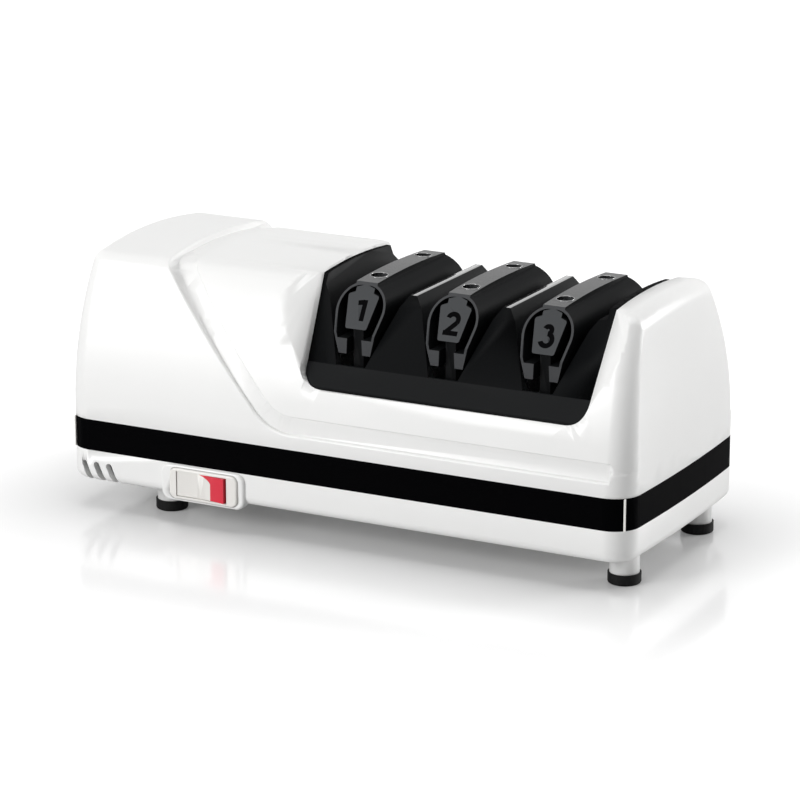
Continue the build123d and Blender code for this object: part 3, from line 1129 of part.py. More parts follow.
brackets, bushes = {}, {}
for name, top, (left, half) in zip(("left", "right", "end"), BRACKET_TOPS, BRACKETS):
    with BuildPart() as shaft_bracket:
        add(bracket_part(left, half, top, MOTOR_SCREWS if half == BRACKET_HALF_Y else []))
    with BuildPart() as shaft_bush:
        add(bush_part(left))
    brackets[f"shaft_bracket_{name}"] = shaft_bracket.part
    bushes[f"shaft_bush_{name}"] = shaft_bush.part

with BuildPart() as motor_screws:
    for y, z in MOTOR_SCREWS:
        add(bar_along_x(BRACKET_LEFT - MOTOR_SCREW_HEAD_HEIGHT, BRACKET_LEFT, y, z, MOTOR_SCREW_HEAD))
        add(bar_along_x(BRACKET_LEFT, BRACKET_RIGHT + BRACKET_THICKNESS + 2, y, z, MOTOR_SCREW_RADIUS))

with BuildPart() as motor_spacers:
    for y, z in MOTOR_SCREWS:
        for left, right in ((BRACKET_LEFT + BRACKET_THICKNESS, STACK_LEFT), (STACK_RIGHT, BRACKET_RIGHT)):
            add(bar_along_x(left, right, y, z, STANDOFF_RADIUS))
            add(bar_along_x(left - 1, right + 1, y, z, MOTOR_SCREW_RADIUS + 0.1), mode=Mode.SUBTRACT)

# ---------------------------------------------------------------- shaft and what turns with it

PINS = [x + side * PIN_FROM_MIDDLE for x in STAGE_X for side in SIDES]
HUB_BORE = SHAFT_RADIUS + PRESS_CLEARANCE

with BuildPart() as motor_shaft:
    add(bar_along_x(SHAFT_LEFT, SHAFT_RIGHT, 0, SHAFT_HEIGHT, SHAFT_RADIUS))
    chamfer(motor_shaft.edges(), SHAFT_CHAMFER)
    for x in PINS:
        add(post(x, 0, 0, 2 * SHAFT_HEIGHT, PIN_RADIUS + PRESS_CLEARANCE), mode=Mode.SUBTRACT)

with BuildPart() as drive_pins:
    for x in PINS:
        add(post(x, 0, SHAFT_HEIGHT - PIN_HALF_LENGTH, SHAFT_HEIGHT + PIN_HALF_LENGTH, PIN_RADIUS))

with BuildPart() as motor_rotor:
    add(bar_along_x(STACK_LEFT, STACK_RIGHT, 0, SHAFT_HEIGHT, ROTOR_RADIUS))
    add(bar_along_x(STACK_LEFT - END_RING_WIDTH, STACK_RIGHT + END_RING_WIDTH, 0, SHAFT_HEIGHT, END_RING_RADIUS))
    add(bar_along_x(STACK_LEFT - 5, STACK_RIGHT + 5, 0, SHAFT_HEIGHT, HUB_BORE), mode=Mode.SUBTRACT)

FAN_RIGHT = FAN_LEFT + FAN_WIDTH

with BuildPart() as cooling_fan:
    add(bar_along_x(FAN_LEFT, FAN_RIGHT, 0, SHAFT_HEIGHT, FAN_HUB_RADIUS))
    add(bar_along_x(FAN_RIGHT - FAN_BACK, FAN_RIGHT, 0, SHAFT_HEIGHT, FAN_RADIUS))
    blade_middle = (FAN_HUB_RADIUS + FAN_RADIUS) / 2
    with BuildSketch(Plane.YZ.offset(FAN_LEFT)):
        with Locations((0, SHAFT_HEIGHT)):
            with PolarLocations(blade_middle, FAN_BLADES):
                Rectangle(FAN_RADIUS - FAN_HUB_RADIUS + 0.5, FAN_BLADE_THICKNESS)
    extrude(amount=FAN_WIDTH - FAN_BACK / 2)
    add(bar_along_x(FAN_LEFT, FAN_RIGHT, 0, SHAFT_HEIGHT, FAN_RADIUS), mode=Mode.INTERSECT)
    add(bar_along_x(FAN_LEFT - 1, FAN_RIGHT + 1, 0, SHAFT_HEIGHT, HUB_BORE), mode=Mode.SUBTRACT)


def disk_part(x, side):
    """A grinding disk: coned on its outer face, recessed for the spring, slotted for its pin."""
    def at(a):
        return x + side * a

    bore = SHAFT_RADIUS + SHAFT_CLEARANCE
    back, rim, face = DISK_BACK_GAP, DISK_BACK_GAP + DISK_RIM_WIDTH, DISK_OUTER_X
    recess = back + DISK_RECESS_DEPTH
    profile = [(back, bore), (back, DISK_HUB_RADIUS), (recess, DISK_HUB_RADIUS), (recess, DISK_RECESS_RADIUS),
               (back, DISK_RECESS_RADIUS), (back, DISK_RADIUS), (rim, DISK_RADIUS),
               (face, DISK_FACE_INNER_RADIUS), (face, bore)]
    slot_end = PIN_FROM_MIDDLE + PIN_RADIUS + PIN_CLEARANCE + DISK_TRAVEL
    with BuildPart() as disk:
        revolve(side_face([(at(a), SHAFT_HEIGHT + r) for a, r in profile]), axis=SHAFT_AXIS)
        near, far = sorted((at(back - 1), at(slot_end)))
        slot_half = PIN_RADIUS + PIN_CLEARANCE
        add(block(near, far, -slot_half, slot_half, SHAFT_HEIGHT - PIN_HALF_LENGTH - PIN_CLEARANCE,
                  SHAFT_HEIGHT + PIN_HALF_LENGTH + PIN_CLEARANCE), mode=Mode.SUBTRACT)
    return disk.part


def coil_spring_part(x):
    """The spring that holds a pair of disks apart, resting in their recesses."""
    half = DISK_BACK_GAP + DISK_RECESS_DEPTH - SPRING_WIRE_RADIUS
    with BuildPart() as coil:
        with BuildLine() as path:
            Helix(pitch=2 * half / SPRING_TURNS, height=2 * half, radius=SPRING_COIL_RADIUS)
        with BuildSketch(Plane(origin=path.line @ 0, z_dir=path.line % 0)):
            Circle(SPRING_WIRE_RADIUS)
        sweep()
    return coil.part.moved(Location((x - half, 0, SHAFT_HEIGHT), (0, 90, 0)))


SHAFT_AXIS = Axis((0, 0, SHAFT_HEIGHT), (1, 0, 0))
DISK_KINDS = ("coarse", "fine", "stropping")
disks, disk_springs = {}, {}
for i, (kind, x) in enumerate(zip(DISK_KINDS, STAGE_X)):
    for side, side_name in ((-1, "left"), (1, "right")):
        with BuildPart() as disk:
            add(disk_part(x, side))
        disks[f"{kind}_disk_{side_name}"] = disk.part
    with BuildPart() as disk_spring:
        add(coil_spring_part(x))
    disk_springs[f"disk_spring_{i + 1}"] = disk_spring.part

# ---------------------------------------------------------------- dressing lever

LEVER_X = STAGE_X[-1]
LEVER_LOW = LEVER_Z - LEVER_THICKNESS / 2
LEVER_HIGH = LEVER_Z + LEVER_THICKNESS / 2
PRONG_OUTER = LEVER_PRONG_INNER + LEVER_PRONG_WIDTH
BACK_FACE = half_depth(LEVER_Z, True)
KNOB_BACK = FRONT_REACH - 0.3

with BuildPart() as dressing_lever:
    add(block(LEVER_X - LEVER_ARM_WIDTH / 2, LEVER_X + LEVER_ARM_WIDTH / 2, LEVER_PIVOT_Y,
              BACK_FACE + LEVER_WALL_GAP + 1, LEVER_LOW, LEVER_HIGH))
    add(post(LEVER_X, LEVER_PIVOT_Y, LEVER_LOW, LEVER_HIGH, LEVER_HUB_RADIUS))
    add(block(LEVER_X - PRONG_OUTER, LEVER_X + PRONG_OUTER, LEVER_PIVOT_Y - LEVER_HUB_RADIUS,
              LEVER_PIVOT_Y - LEVER_HUB_RADIUS / 2, LEVER_LOW, LEVER_HIGH))
    for side in SIDES:
        near, far = sorted((LEVER_X + side * LEVER_PRONG_INNER, LEVER_X + side * PRONG_OUTER))
        add(block(near, far, LEVER_PRONG_TIP_Y, LEVER_PIVOT_Y - LEVER_HUB_RADIUS / 2, LEVER_LOW, LEVER_HIGH))
    add(block(LEVER_X - LEVER_KNOB_WIDTH / 2, LEVER_X + LEVER_KNOB_WIDTH / 2, BACK_FACE + LEVER_WALL_GAP,
              KNOB_BACK, LEVER_Z - LEVER_KNOB_HEIGHT / 2, LEVER_Z + LEVER_KNOB_HEIGHT / 2, 1.0))
    add(post(LEVER_X, LEVER_PIVOT_Y, LEVER_LOW - 1, LEVER_HIGH + 1, LEVER_PIN_RADIUS + LEVER_PIN_CLEARANCE),
        mode=Mode.SUBTRACT)

with BuildPart() as dressing_pads:
    for side in SIDES:
        inner = LEVER_PRONG_INNER - DRESSER_THICKNESS
        near, far = sorted((LEVER_X + side * inner, LEVER_X + side * LEVER_PRONG_INNER))
        add(block(near, far, LEVER_PRONG_TIP_Y, LEVER_PRONG_TIP_Y + DRESSER_LENGTH, LEVER_LOW, LEVER_HIGH))

with BuildPart() as lever_pin:
    add(post(LEVER_X, LEVER_PIVOT_Y, LEVER_POST_TOP - 10, LEVER_HIGH + 0.4, LEVER_PIN_RADIUS))
    add(post(LEVER_X, LEVER_PIVOT_Y, LEVER_HIGH + 0.4, LEVER_HIGH + 1.4, LEVER_PIN_RADIUS + 1))

# ---------------------------------------------------------------- clean-out cover

with BuildPart() as cleanout_cover:
    add(block(COVER_X - COVER_LENGTH / 2, COVER_X + COVER_LENGTH / 2, -COVER_WIDTH / 2, COVER_WIDTH / 2,
              BASE_UNDERSIDE, BASE_UNDERSIDE + COVER_PLATE, 2.7))
    skirt_x, skirt_y = COVER_HOLE_LENGTH / 2 - FIT, COVER_HOLE_WIDTH / 2 - FIT
    plate_top = BASE_UNDERSIDE + COVER_PLATE
    add(block(COVER_X - skirt_x, COVER_X + skirt_x, -skirt_y, skirt_y, plate_top - 0.5,
              plate_top + COVER_SKIRT_HEIGHT, 1.7))
    inner_x, inner_y = skirt_x - COVER_SKIRT_WALL, skirt_y - COVER_SKIRT_WALL
    add(block(COVER_X - inner_x, COVER_X + inner_x, -inner_y, inner_y, plate_top,
              plate_top + COVER_SKIRT_HEIGHT + 1), mode=Mode.SUBTRACT)
    # finger notch across the outside
    with BuildSketch(Plane.XY.offset(BASE_UNDERSIDE)):
        with Locations((COVER_X, 0)):
            SlotOverall(COVER_NOTCH_LENGTH, COVER_NOTCH_WIDTH)
    extrude(amount=COVER_NOTCH_DEPTH, mode=Mode.SUBTRACT)

with BuildPart() as swarf_magnet:
    add(block(COVER_X - inner_x + 1, COVER_X + inner_x - 1, -inner_y + 1, inner_y - 1, plate_top,
              plate_top + SWARF_MAGNET_THICKNESS))

# ---------------------------------------------------------------- cord gland and case screws

with BuildPart() as cord_gland:
    for front, back, radius in ((FRONT, FRONT_REACH, GLAND_FLANGE), (FRONT - WALL, FRONT, GLAND_NECK),
                                (FRONT - WALL - GLAND_FLANGE_INNER, FRONT - WALL, GLAND_LOCK_RADIUS)):
        with BuildSketch(Plane.XZ.offset(-front)):
            with Locations((GLAND_X, GLAND_Z)):
                Circle(radius)
        extrude(amount=front - back)
    with BuildSketch(Plane.XZ.offset(-FRONT_REACH - 1)):
        with Locations((GLAND_X, GLAND_Z)):
            Circle(GLAND_BORE)
    extrude(amount=DEPTH / 4, mode=Mode.SUBTRACT)

with BuildPart() as case_screws:
    for x, y in CASE_SCREWS:
        add(post(x, y, CASE_SCREW_SEAT - CASE_SCREW_HEAD_HEIGHT, CASE_SCREW_SEAT, CASE_SCREW_HEAD))
        add(post(x, y, CASE_SCREW_SEAT, CASE_SCREW_SEAT + CASE_SCREW_LENGTH, CASE_SCREW_RADIUS))
        with BuildSketch(Plane.XY.offset(CASE_SCREW_SEAT - CASE_SCREW_HEAD_HEIGHT)):
            with Locations((x, y)):
                Rectangle(2 * CASE_SCREW_RADIUS, 0.8)
                Rectangle(0.8, 2 * CASE_SCREW_RADIUS)
        extrude(amount=1.2, mode=Mode.SUBTRACT)

# ---------------------------------------------------------------- the pieces, one file each

PIECES = {
    "upper_housing": upper_housing.part,
    "base_tray": base_tray.part,
    "front_band": front_band.part,
    "wrap_band": wrap_band.part,
    "guide_housing": guide_housing.part,
    "guide_magnets": guide_magnets.part,
    "stage_numbers": stage_numbers.part,
    "guide_screws": guide_screws.part,
    "leg_screws": leg_screws.part,
    "switch_bezel": switch_bezel.part,
    "switch_body": switch_body.part,
    "switch_terminals": switch_terminals.part,
    "rocker": rocker.part,
    "rocker_marker": rocker_marker.part,
    "motor_stator": motor_stator.part,
    "motor_coil": motor_coil.part,
    "motor_screws": motor_screws.part,
    "motor_spacers": motor_spacers.part,
    "motor_shaft": motor_shaft.part,
    "drive_pins": drive_pins.part,
    "motor_rotor": motor_rotor.part,
    "cooling_fan": cooling_fan.part,
    "dressing_lever": dressing_lever.part,
    "dressing_pads": dressing_pads.part,
    "lever_pin": lever_pin.part,
    "cleanout_cover": cleanout_cover.part,
    "swarf_magnet": swarf_magnet.part,
    "cord_gland": cord_gland.part,
    "case_screws": case_screws.part,
}
for group in (guide_plates, guide_springs, guide_bars, feet, brackets, bushes, disks, disk_springs):
    PIECES.update(group)

os.makedirs("parts", exist_ok=True)
for name, solid in PIECES.items():
    solid.label = name
    export_step(solid, f"parts/{name}.step")
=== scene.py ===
import json
from math import cos, pi, radians, sin

import bpy
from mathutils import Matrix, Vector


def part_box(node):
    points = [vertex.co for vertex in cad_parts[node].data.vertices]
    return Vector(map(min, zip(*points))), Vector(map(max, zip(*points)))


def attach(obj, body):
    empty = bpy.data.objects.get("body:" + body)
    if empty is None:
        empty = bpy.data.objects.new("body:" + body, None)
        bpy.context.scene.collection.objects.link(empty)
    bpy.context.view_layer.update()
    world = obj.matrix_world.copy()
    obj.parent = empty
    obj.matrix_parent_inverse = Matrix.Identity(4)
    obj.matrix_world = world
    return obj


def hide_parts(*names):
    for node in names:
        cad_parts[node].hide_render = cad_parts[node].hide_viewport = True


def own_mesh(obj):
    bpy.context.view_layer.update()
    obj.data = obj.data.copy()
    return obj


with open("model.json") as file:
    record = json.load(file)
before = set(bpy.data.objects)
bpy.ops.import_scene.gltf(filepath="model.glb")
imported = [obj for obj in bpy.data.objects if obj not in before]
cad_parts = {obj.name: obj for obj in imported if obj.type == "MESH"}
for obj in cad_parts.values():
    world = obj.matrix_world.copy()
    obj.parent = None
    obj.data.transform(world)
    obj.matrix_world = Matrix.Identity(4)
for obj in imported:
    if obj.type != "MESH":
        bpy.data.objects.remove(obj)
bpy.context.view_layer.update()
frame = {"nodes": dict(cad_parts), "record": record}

MM = 0.001
SLOT_OF = {entry["node"]: entry["material_slot"] for entry in frame["record"]["subparts"]}
BODY_OF = {node: body for body, nodes in frame["record"]["behaviour"]["bodies"].items() for node in nodes}

# ---------------------------------------------------------------- how a finish is made


def colour(hex_value):
    """A linear colour from an sRGB hex value."""
    channels = [int(hex_value[i:i + 2], 16) / 255 for i in (1, 3, 5)]
    linear = [c / 12.92 if c <= 0.04045 else ((c + 0.055) / 1.055) ** 2.4 for c in channels]
    return (*linear, 1.0)


def add_node(owner, kind, settings=(), links=()):
    """Add a node to a material or world, with its settings and the sockets that feed it."""
    tree = owner.node_tree
    node = tree.nodes.new(kind)
    for name, value in dict(settings).items():
        if isinstance(name, str) and hasattr(node, name):
            setattr(node, name, value)
        else:
            node.inputs[name].default_value = value
    for name, source in dict(links).items():
        tree.links.new(source, node.inputs[name])
    return node


def drive(shader, **sources):
    """Lead outputs to the shader's sockets of the same names."""
    for socket, source in sources.items():
        shader.id_data.links.new(source, shader.inputs[socket.replace("_", " ")])


def new_finish(name, hex_value, roughness, **shader_settings):
    """A material with one shader, and the place on the piece to hang its detail on."""
    material = bpy.data.materials.new(name)
    material.use_nodes = True
    shader = material.node_tree.nodes["Principled BSDF"]
    shader.inputs["Base Color"].default_value = colour(hex_value)
    shader.inputs["Roughness"].default_value = roughness
    for socket, value in shader_settings.items():
        shader.inputs[socket.replace("_", " ")].default_value = value
    place = add_node(material, "ShaderNodeTexCoord").outputs["Object"]
    return material, shader, place


FLOW_MARK = 40.0               # mm from one flow mark to the next
TOOL_RIPPLE = 6.0              # mm from crest to crest where a tool is polished
TOOL_RIPPLE_HEIGHT = 0.002


def moulded(name, low_hex, high_hex, roughness, grain_mm, relief_mm, ior=1.5, gloss=0.5):
    """Injection-moulded plastic: even colour, slight flow marks, and the tool's own grain."""
    material, shader, place = new_finish(name, low_hex, roughness, IOR=ior, Specular_IOR_Level=gloss)
    flow = add_node(material, "ShaderNodeTexNoise", {"Scale": 1 / (FLOW_MARK * MM), "Detail": 3.0},
                    {"Vector": place}).outputs["Fac"]
    tone = add_node(material, "ShaderNodeMix", {"data_type": "RGBA", 6: colour(low_hex), 7: colour(high_hex)},
                    {0: flow})
    dullness = add_node(material, "ShaderNodeMapRange",
                        {"To Min": roughness * 0.9, "To Max": roughness * 1.1}, {"Value": flow})
    grain = add_node(material, "ShaderNodeTexNoise", {"Scale": 1 / (grain_mm * MM)},
                     {"Vector": place}).outputs["Fac"]
    relief = add_node(material, "ShaderNodeBump", {"Distance": relief_mm * MM}, {"Height": grain})
    drive(shader, Base_Color=tone.outputs[2], Roughness=dullness.outputs["Result"],
          Normal=relief.outputs["Normal"])
    return material


def metal(name, low_hex, high_hex, roughness, stretch, size_mm, relief_mm):
    """Bare metal with marks drawn out along one way."""
    material, shader, place = new_finish(name, low_hex, roughness, Metallic=1.0)
    drawn = add_node(material, "ShaderNodeMapping", {"Scale": stretch}, {"Vector": place})
    marks = add_node(material, "ShaderNodeTexNoise", {"Scale": 1 / (size_mm * MM)},
                     {"Vector": drawn.outputs["Vector"]}).outputs["Fac"]
    tone = add_node(material, "ShaderNodeMix", {"data_type": "RGBA", 6: colour(low_hex), 7: colour(high_hex)},
                    {0: marks})
    dullness = add_node(material, "ShaderNodeMapRange",
                        {"To Min": roughness * 0.8, "To Max": roughness * 1.25}, {"Value": marks})
    relief = add_node(material, "ShaderNodeBump", {"Distance": relief_mm * MM}, {"Height": marks})
    drive(shader, Base_Color=tone.outputs[2], Roughness=dullness.outputs["Result"],
          Normal=relief.outputs["Normal"])
    return material


def tool_polished(name, hex_value, roughness, **shader_settings):
    """Plastic from a polished spot of the tool: deep colour under a mirror-like skin with a faint ripple."""
    material, shader, place = new_finish(name, hex_value, roughness, **shader_settings)
    ripple = add_node(material, "ShaderNodeTexNoise", {"Scale": 1 / (TOOL_RIPPLE * MM)}, {"Vector": place})
    relief = add_node(material, "ShaderNodeBump", {"Distance": TOOL_RIPPLE_HEIGHT * MM},
                      {"Height": ripple.outputs["Fac"]})
    drive(shader, Normal=relief.outputs["Normal"])
    return material


RED_LEFT_X = -56.5             # the red's straight edge, and the height where it starts to bend away
RED_RISE_Z = 19.3
RED_BEND_PER_MM = 0.4


def two_shot(name, first_hex, second_hex, roughness):
    """Plastic moulded in two shots, whose second colour runs out to a curved tip at the top edge."""
    material, shader, place = new_finish(name, first_hex, roughness, IOR=1.54)
    axes = add_node(material, "ShaderNodeSeparateXYZ", links={0: place})
    rise = add_node(material, "ShaderNodeMath", {"operation": "SUBTRACT", 1: RED_RISE_Z * MM},
                    {0: axes.outputs["Z"]})
    rise = add_node(material, "ShaderNodeMath", {"operation": "MAXIMUM", 1: 0.0}, {0: rise.outputs["Value"]})
    rise = add_node(material, "ShaderNodeMath", {"operation": "POWER", 1: 2.0}, {0: rise.outputs["Value"]})
    bend = add_node(material, "ShaderNodeMath", {"operation": "MULTIPLY_ADD", 1: RED_BEND_PER_MM / MM},
                    {0: rise.outputs["Value"], 2: axes.outputs["X"]})
    is_second = add_node(material, "ShaderNodeMath", {"operation": "GREATER_THAN", 1: RED_LEFT_X * MM},
                         {0: bend.outputs["Value"]})
    tone = add_node(material, "ShaderNodeMix",
                    {"data_type": "RGBA", 6: colour(first_hex), 7: colour(second_hex)},
                    {0: is_second.outputs["Value"]})
    drive(shader, Base_Color=tone.outputs[2])
    return material


# ---------------------------------------------------------------- finishes

# ABS moulded in a polished tool: soft gloss with a very faint ripple
white_abs = moulded("polished_white_ABS", "#e9e9e8", "#ededec", 0.33, 9.0, 0.004, ior=1.54)
# ABS of the switch: a little warmer, from a less polished tool
switch_abs = moulded("satin_warm_white_ABS", "#e4e2de", "#e9e7e3", 0.34, 1.6, 0.003, ior=1.54)
# printed polycarbonate strip: near black, smooth and even
band_film = moulded("black_polycarbonate_strip", "#030304", "#040405", 0.4, 3.0, 0.002, ior=1.58, gloss=0.005)
# ABS from a spark-eroded tool: fine grain of about half a millimetre that breaks up the light
grained_black = moulded("spark_eroded_black_ABS", "#0d0e0f", "#131415", 0.5, 0.5, 0.035, gloss=0.08)
# the same ABS on polished lands and rims: they mirror the studio as thin bright lines
polished_black = tool_polished("polished_black_ABS", "#0c0d0e", 0.14, IOR=2.0, Specular_IOR_Level=1.0,
                               Coat_Weight=1.0, Coat_IOR=2.2, Coat_Roughness=0.1)
# painted shade: the walls' top faces wear a near-black, matt copy of the ABS, so that they sink into the dark
# of the well as if in shade
painted_shade_black = moulded("painted_shade_black_ABS", "#040405", "#060607", 0.7, 0.5, 0.02, gloss=0.02)
# the same ABS on the ridges' steep end faces, made a shade darker and duller than the rest
dull_black = moulded("darker_dull_black_ABS", "#08090a", "#0c0d0e", 0.55, 0.8, 0.05, gloss=0.04)
# glass-filled nylon: dark grey, a little duller than the housing
spring_nylon = moulded("dark_glass_filled_nylon", "#0a0b0c", "#0e0f10", 0.55, 0.45, 0.02,
                       ior=1.53, gloss=0.04)
# its top land carries the coarse grain of the glass, which glitters at a low angle
land_nylon = moulded("grained_glass_filled_nylon", "#131415", "#212223", 0.36, 0.6, 0.14, ior=1.6, gloss=0.55)
# its front and back end faces, in a paler grey than the rest of the piece
paler_end_nylon = moulded("paler_end_glass_filled_nylon", "#343537", "#3b3c3e", 0.55, 0.45, 0.02,
                        ior=1.53, gloss=0.2)
# its number plates: plain mid grey, so that the numerals stand out
plate_nylon = moulded("grey_glass_filled_nylon", "#333537", "#393b3d", 0.5, 0.45, 0.02, ior=1.53, gloss=0.2)
# its pads' front and back end faces, in a paler grey
pad_nylon = moulded("paler_pad_end_glass_filled_nylon", "#38393b", "#404143", 0.55, 0.45, 0.02, ior=1.53, gloss=0.2)
# paint wiped into the sunk numerals: black without any shine
numeral_paint = moulded("black_filling_paint", "#040405", "#060607", 0.7, 0.4, 0.01, gloss=0.02)
# red ABS moulded into the rocker's end: a clear signal red with a soft gloss
marker_red = moulded("red_ABS", "#cf1733", "#d81d39", 0.3, 1.6, 0.003, ior=1.54)
# the rocker itself: warm white, with the red of its end flush in the same surface
rocker_abs = two_shot("two_shot_ABS", "#e4e2de", "#d0182f", 0.34)
# nitrile rubber: black, dull, faintly dusty
foot_rubber = moulded("black_nitrile_rubber", "#0a0a0b", "#101010", 0.62, 0.7, 0.02, ior=1.52, gloss=0.15)
# bead-blasted stainless guide plates: even pale satin
blasted_steel = metal("bead_blasted_stainless_steel", "#c4c5c6", "#d8d9da", 0.62, (1, 1, 1), 0.4, 0.01)
# ground steel of shafts, springs and pins: bright, with fine marks drawn out along the shaft
ground_steel = metal("ground_steel", "#9a9c9e", "#bcbec0", 0.28, (1, 4, 4), 0.6, 0.002)
# black-oxide steel of the screws: blue-black with a slight oily shine
oxide_steel = metal("black_oxide_steel", "#141516", "#242628", 0.42, (1, 1, 1), 0.5, 0.004)
# stacked motor sheets of half a millimetre, whose edges show as fine lines across the stack
lamination = metal("laminated_motor_steel", "#4b4d50", "#7b7e82", 0.45, (5, 0.4, 0.4), 2.0, 0.03)
# lacquered copper wire: warm brown, with the turns as fine close lines
winding = metal("enamelled_copper_wire", "#7a3c1c", "#a85c30", 0.4, (6, 0.5, 6), 2.2, 0.08)
# pressure-cast aluminium: mid grey, with a slightly uneven skin
cast_aluminium = metal("cast_aluminium", "#8a8c8e", "#a2a4a6", 0.5, (1, 1, 1), 1.2, 0.02)
# sintered bronze: dull gold, speckled by its open pores
sintered_bronze = metal("sintered_bronze", "#7a5c2c", "#9c7a42", 0.5, (1, 1, 1), 0.4, 0.02)
# bonded diamond grit on steel: dull grey sparkle, with grit far finer than the 0.35 mm that it is drawn at
grit_face = metal("diamond_grit_on_steel", "#6a6a68", "#9a9a96", 0.55, (1, 1, 1), 0.35, 0.05)
# polymer loaded with fine abrasive: pale and smooth, like hard wax
strop_face = moulded("fine_abrasive_polymer", "#a8a49a", "#b8b4aa", 0.4, 0.4, 0.01)
# pressed ferrite: charcoal, dull
ferrite = moulded("pressed_ferrite", "#2b2c2e", "#3a3b3d", 0.5, 0.5, 0.01)
# bonded grit of the dressing pads: rusty brown and rough
dresser_stone = moulded("bonded_dressing_grit", "#6e4a38", "#8a6350", 0.75, 0.4, 0.05)
# nylon of the fan: black with a waxy sheen
fan_nylon = moulded("black_nylon", "#18191a", "#202122", 0.5, 0.8, 0.01)

FINISH = {
    "white_abs": white_abs,
    "switch_white": switch_abs,
    "black_band": band_film,
    "black_moulding": grained_black,
    "grey_moulding": spring_nylon,
    "number_ink": numeral_paint,
    "red_marker": marker_red,
    "foot_rubber": foot_rubber,
    "spring_steel": blasted_steel,
    "bright_steel": ground_steel,
    "dark_steel": oxide_steel,
    "lamination": lamination,
    "copper_winding": winding,
    "die_cast": cast_aluminium,
    "bronze": sintered_bronze,
    "abrasive": grit_face,
    "strop": strop_face,
    "magnet": ferrite,
    "fan_plastic": fan_nylon,
    "dresser": dresser_stone,
}


def wear(piece, material):
    """Give a piece one material all over."""
    if piece.data.materials:
        for i in range(len(piece.data.materials)):
            piece.data.materials[i] = material
    else:
        piece.data.materials.append(material)


for node, solid in frame["nodes"].items():
    for slot in solid.material_slots:
        slot.link = "DATA"
    wear(solid, FINISH[SLOT_OF[node]])

# ---------------------------------------------------------------- shells and mouldings

JOIN_WITHIN = 0.002            # corners of a solid's loose triangles that are nearer than this are one corner
SMOOTH_BELOW = 32.0            # degrees
SMOOTH_FLAT_BELOW = 20.0       # on pieces whose flats meet at shallow angles


def only(piece):
    """Make a piece the one that the next operator acts on."""
    bpy.ops.object.select_all(action="DESELECT")
    bpy.context.view_layer.objects.active = piece
    piece.select_set(True)


def finished(node, material, smooth_below=SMOOTH_BELOW, regions=()):
    """A joined and smoothly shaded copy of a solid that stands for it.

    Each region is a second material and a test of a face's centre and normal that says where it goes.
    """
    piece = bpy.data.objects.new(node + "_skin", frame["nodes"][node].data.copy())
    bpy.context.collection.objects.link(piece)
    only(piece)
    bpy.ops.object.mode_set(mode="EDIT")
    bpy.ops.mesh.select_all(action="SELECT")
    bpy.ops.mesh.remove_doubles(threshold=JOIN_WITHIN * MM)
    bpy.ops.object.mode_set(mode="OBJECT")
    bpy.ops.object.shade_smooth_by_angle(angle=radians(smooth_below))
    even = piece.modifiers.new("even_shading", "WEIGHTED_NORMAL")
    even.keep_sharp = True
    bpy.ops.object.modifier_apply(modifier=even.name)
    wear(piece, material)
    for number, (extra, belongs) in enumerate(regions, 1):
        piece.data.materials.append(extra)
        for face in piece.data.polygons:
            if belongs([c / MM for c in face.center], face.normal):
                face.material_index = number
    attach(piece, BODY_OF[node])
    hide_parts(node)
    return piece


def middle_of(node):
    """The middle of a solid's box, in metres."""
    low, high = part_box(node)
    return [(a + b) / 2 for a, b in zip(low, high)]


STAGES = (1, 2, 3)
STAGES_X = [middle_of(f"guide_spring_{i}")[0] / MM for i in STAGES]

# heights that part one region of a moulding from the next
RIDGE_FOOT_Z, WALL_TOP_Z, RIDGE_LAND_Z = 72.9, 95.0, 100.0
PAD_TOP_Z, PLATE_BOTTOM_Z, ARCH_LAND_Z = 83.4, 87.2, 104.0
# least share of a face's normal along an axis for the face to look that way
UPWARD, FLAT_UPWARD = 0.9, 0.95
ENDWAYS, STEEP_ENDWAYS = 0.5, 0.8


def on_ridge_end(centre, normal):
    return abs(normal.y) > STEEP_ENDWAYS and centre[2] > RIDGE_FOOT_Z


def on_wall_top(centre, normal):
    return normal.z > UPWARD and centre[2] > WALL_TOP_Z


def on_ridge_land(centre, normal):
    return normal.z > UPWARD and centre[2] > RIDGE_LAND_Z and STAGES_X[0] < centre[0] < STAGES_X[-1]


def on_arch_land(centre, normal):
    return normal.z > FLAT_UPWARD and centre[2] > ARCH_LAND_Z


def on_arch_end(centre, normal):
    return abs(normal.y) > ENDWAYS and centre[2] > PAD_TOP_Z


def on_pad_end(centre, normal):
    return abs(normal.y) > ENDWAYS and centre[2] < PAD_TOP_Z


# painted shade: the bar is one grey moulding, and its faces below and behind the plate wear the black ABS to
# look shaded
def shaded_behind_plate(centre, normal):
    return centre[2] < PLATE_BOTTOM_Z or abs(normal.y) < ENDWAYS


finished("upper_housing", white_abs)
finished("base_tray", white_abs)
finished("front_band", band_film)
finished("wrap_band", band_film)
# painted shade: the walls' top faces wear the near-black copy of the ABS that sinks them into the dark of the
# well
finished("guide_housing", grained_black, regions=[
    (dull_black, on_ridge_end), (painted_shade_black, on_wall_top), (polished_black, on_ridge_land)])
finished("switch_bezel", switch_abs)
finished("rocker", rocker_abs)
finished("rocker_marker", marker_red)
for i in STAGES:
    finished(f"guide_spring_{i}", spring_nylon, SMOOTH_FLAT_BELOW, regions=[
        (land_nylon, on_arch_land), (paler_end_nylon, on_arch_end), (pad_nylon, on_pad_end)])
    # painted shade: the bar's faces below and behind its plate wear the black ABS
    finished(f"guide_bar_{i}", plate_nylon, SMOOTH_FLAT_BELOW, regions=[(grained_black, shaded_behind_plate)])
for node in ("foot_front_left", "foot_front_right", "foot_back_left", "foot_back_right", "cord_gland"):
    finished(node, foot_rubber)
finished("cleanout_cover", white_abs)

# ---------------------------------------------------------------- coil springs that the disks press together

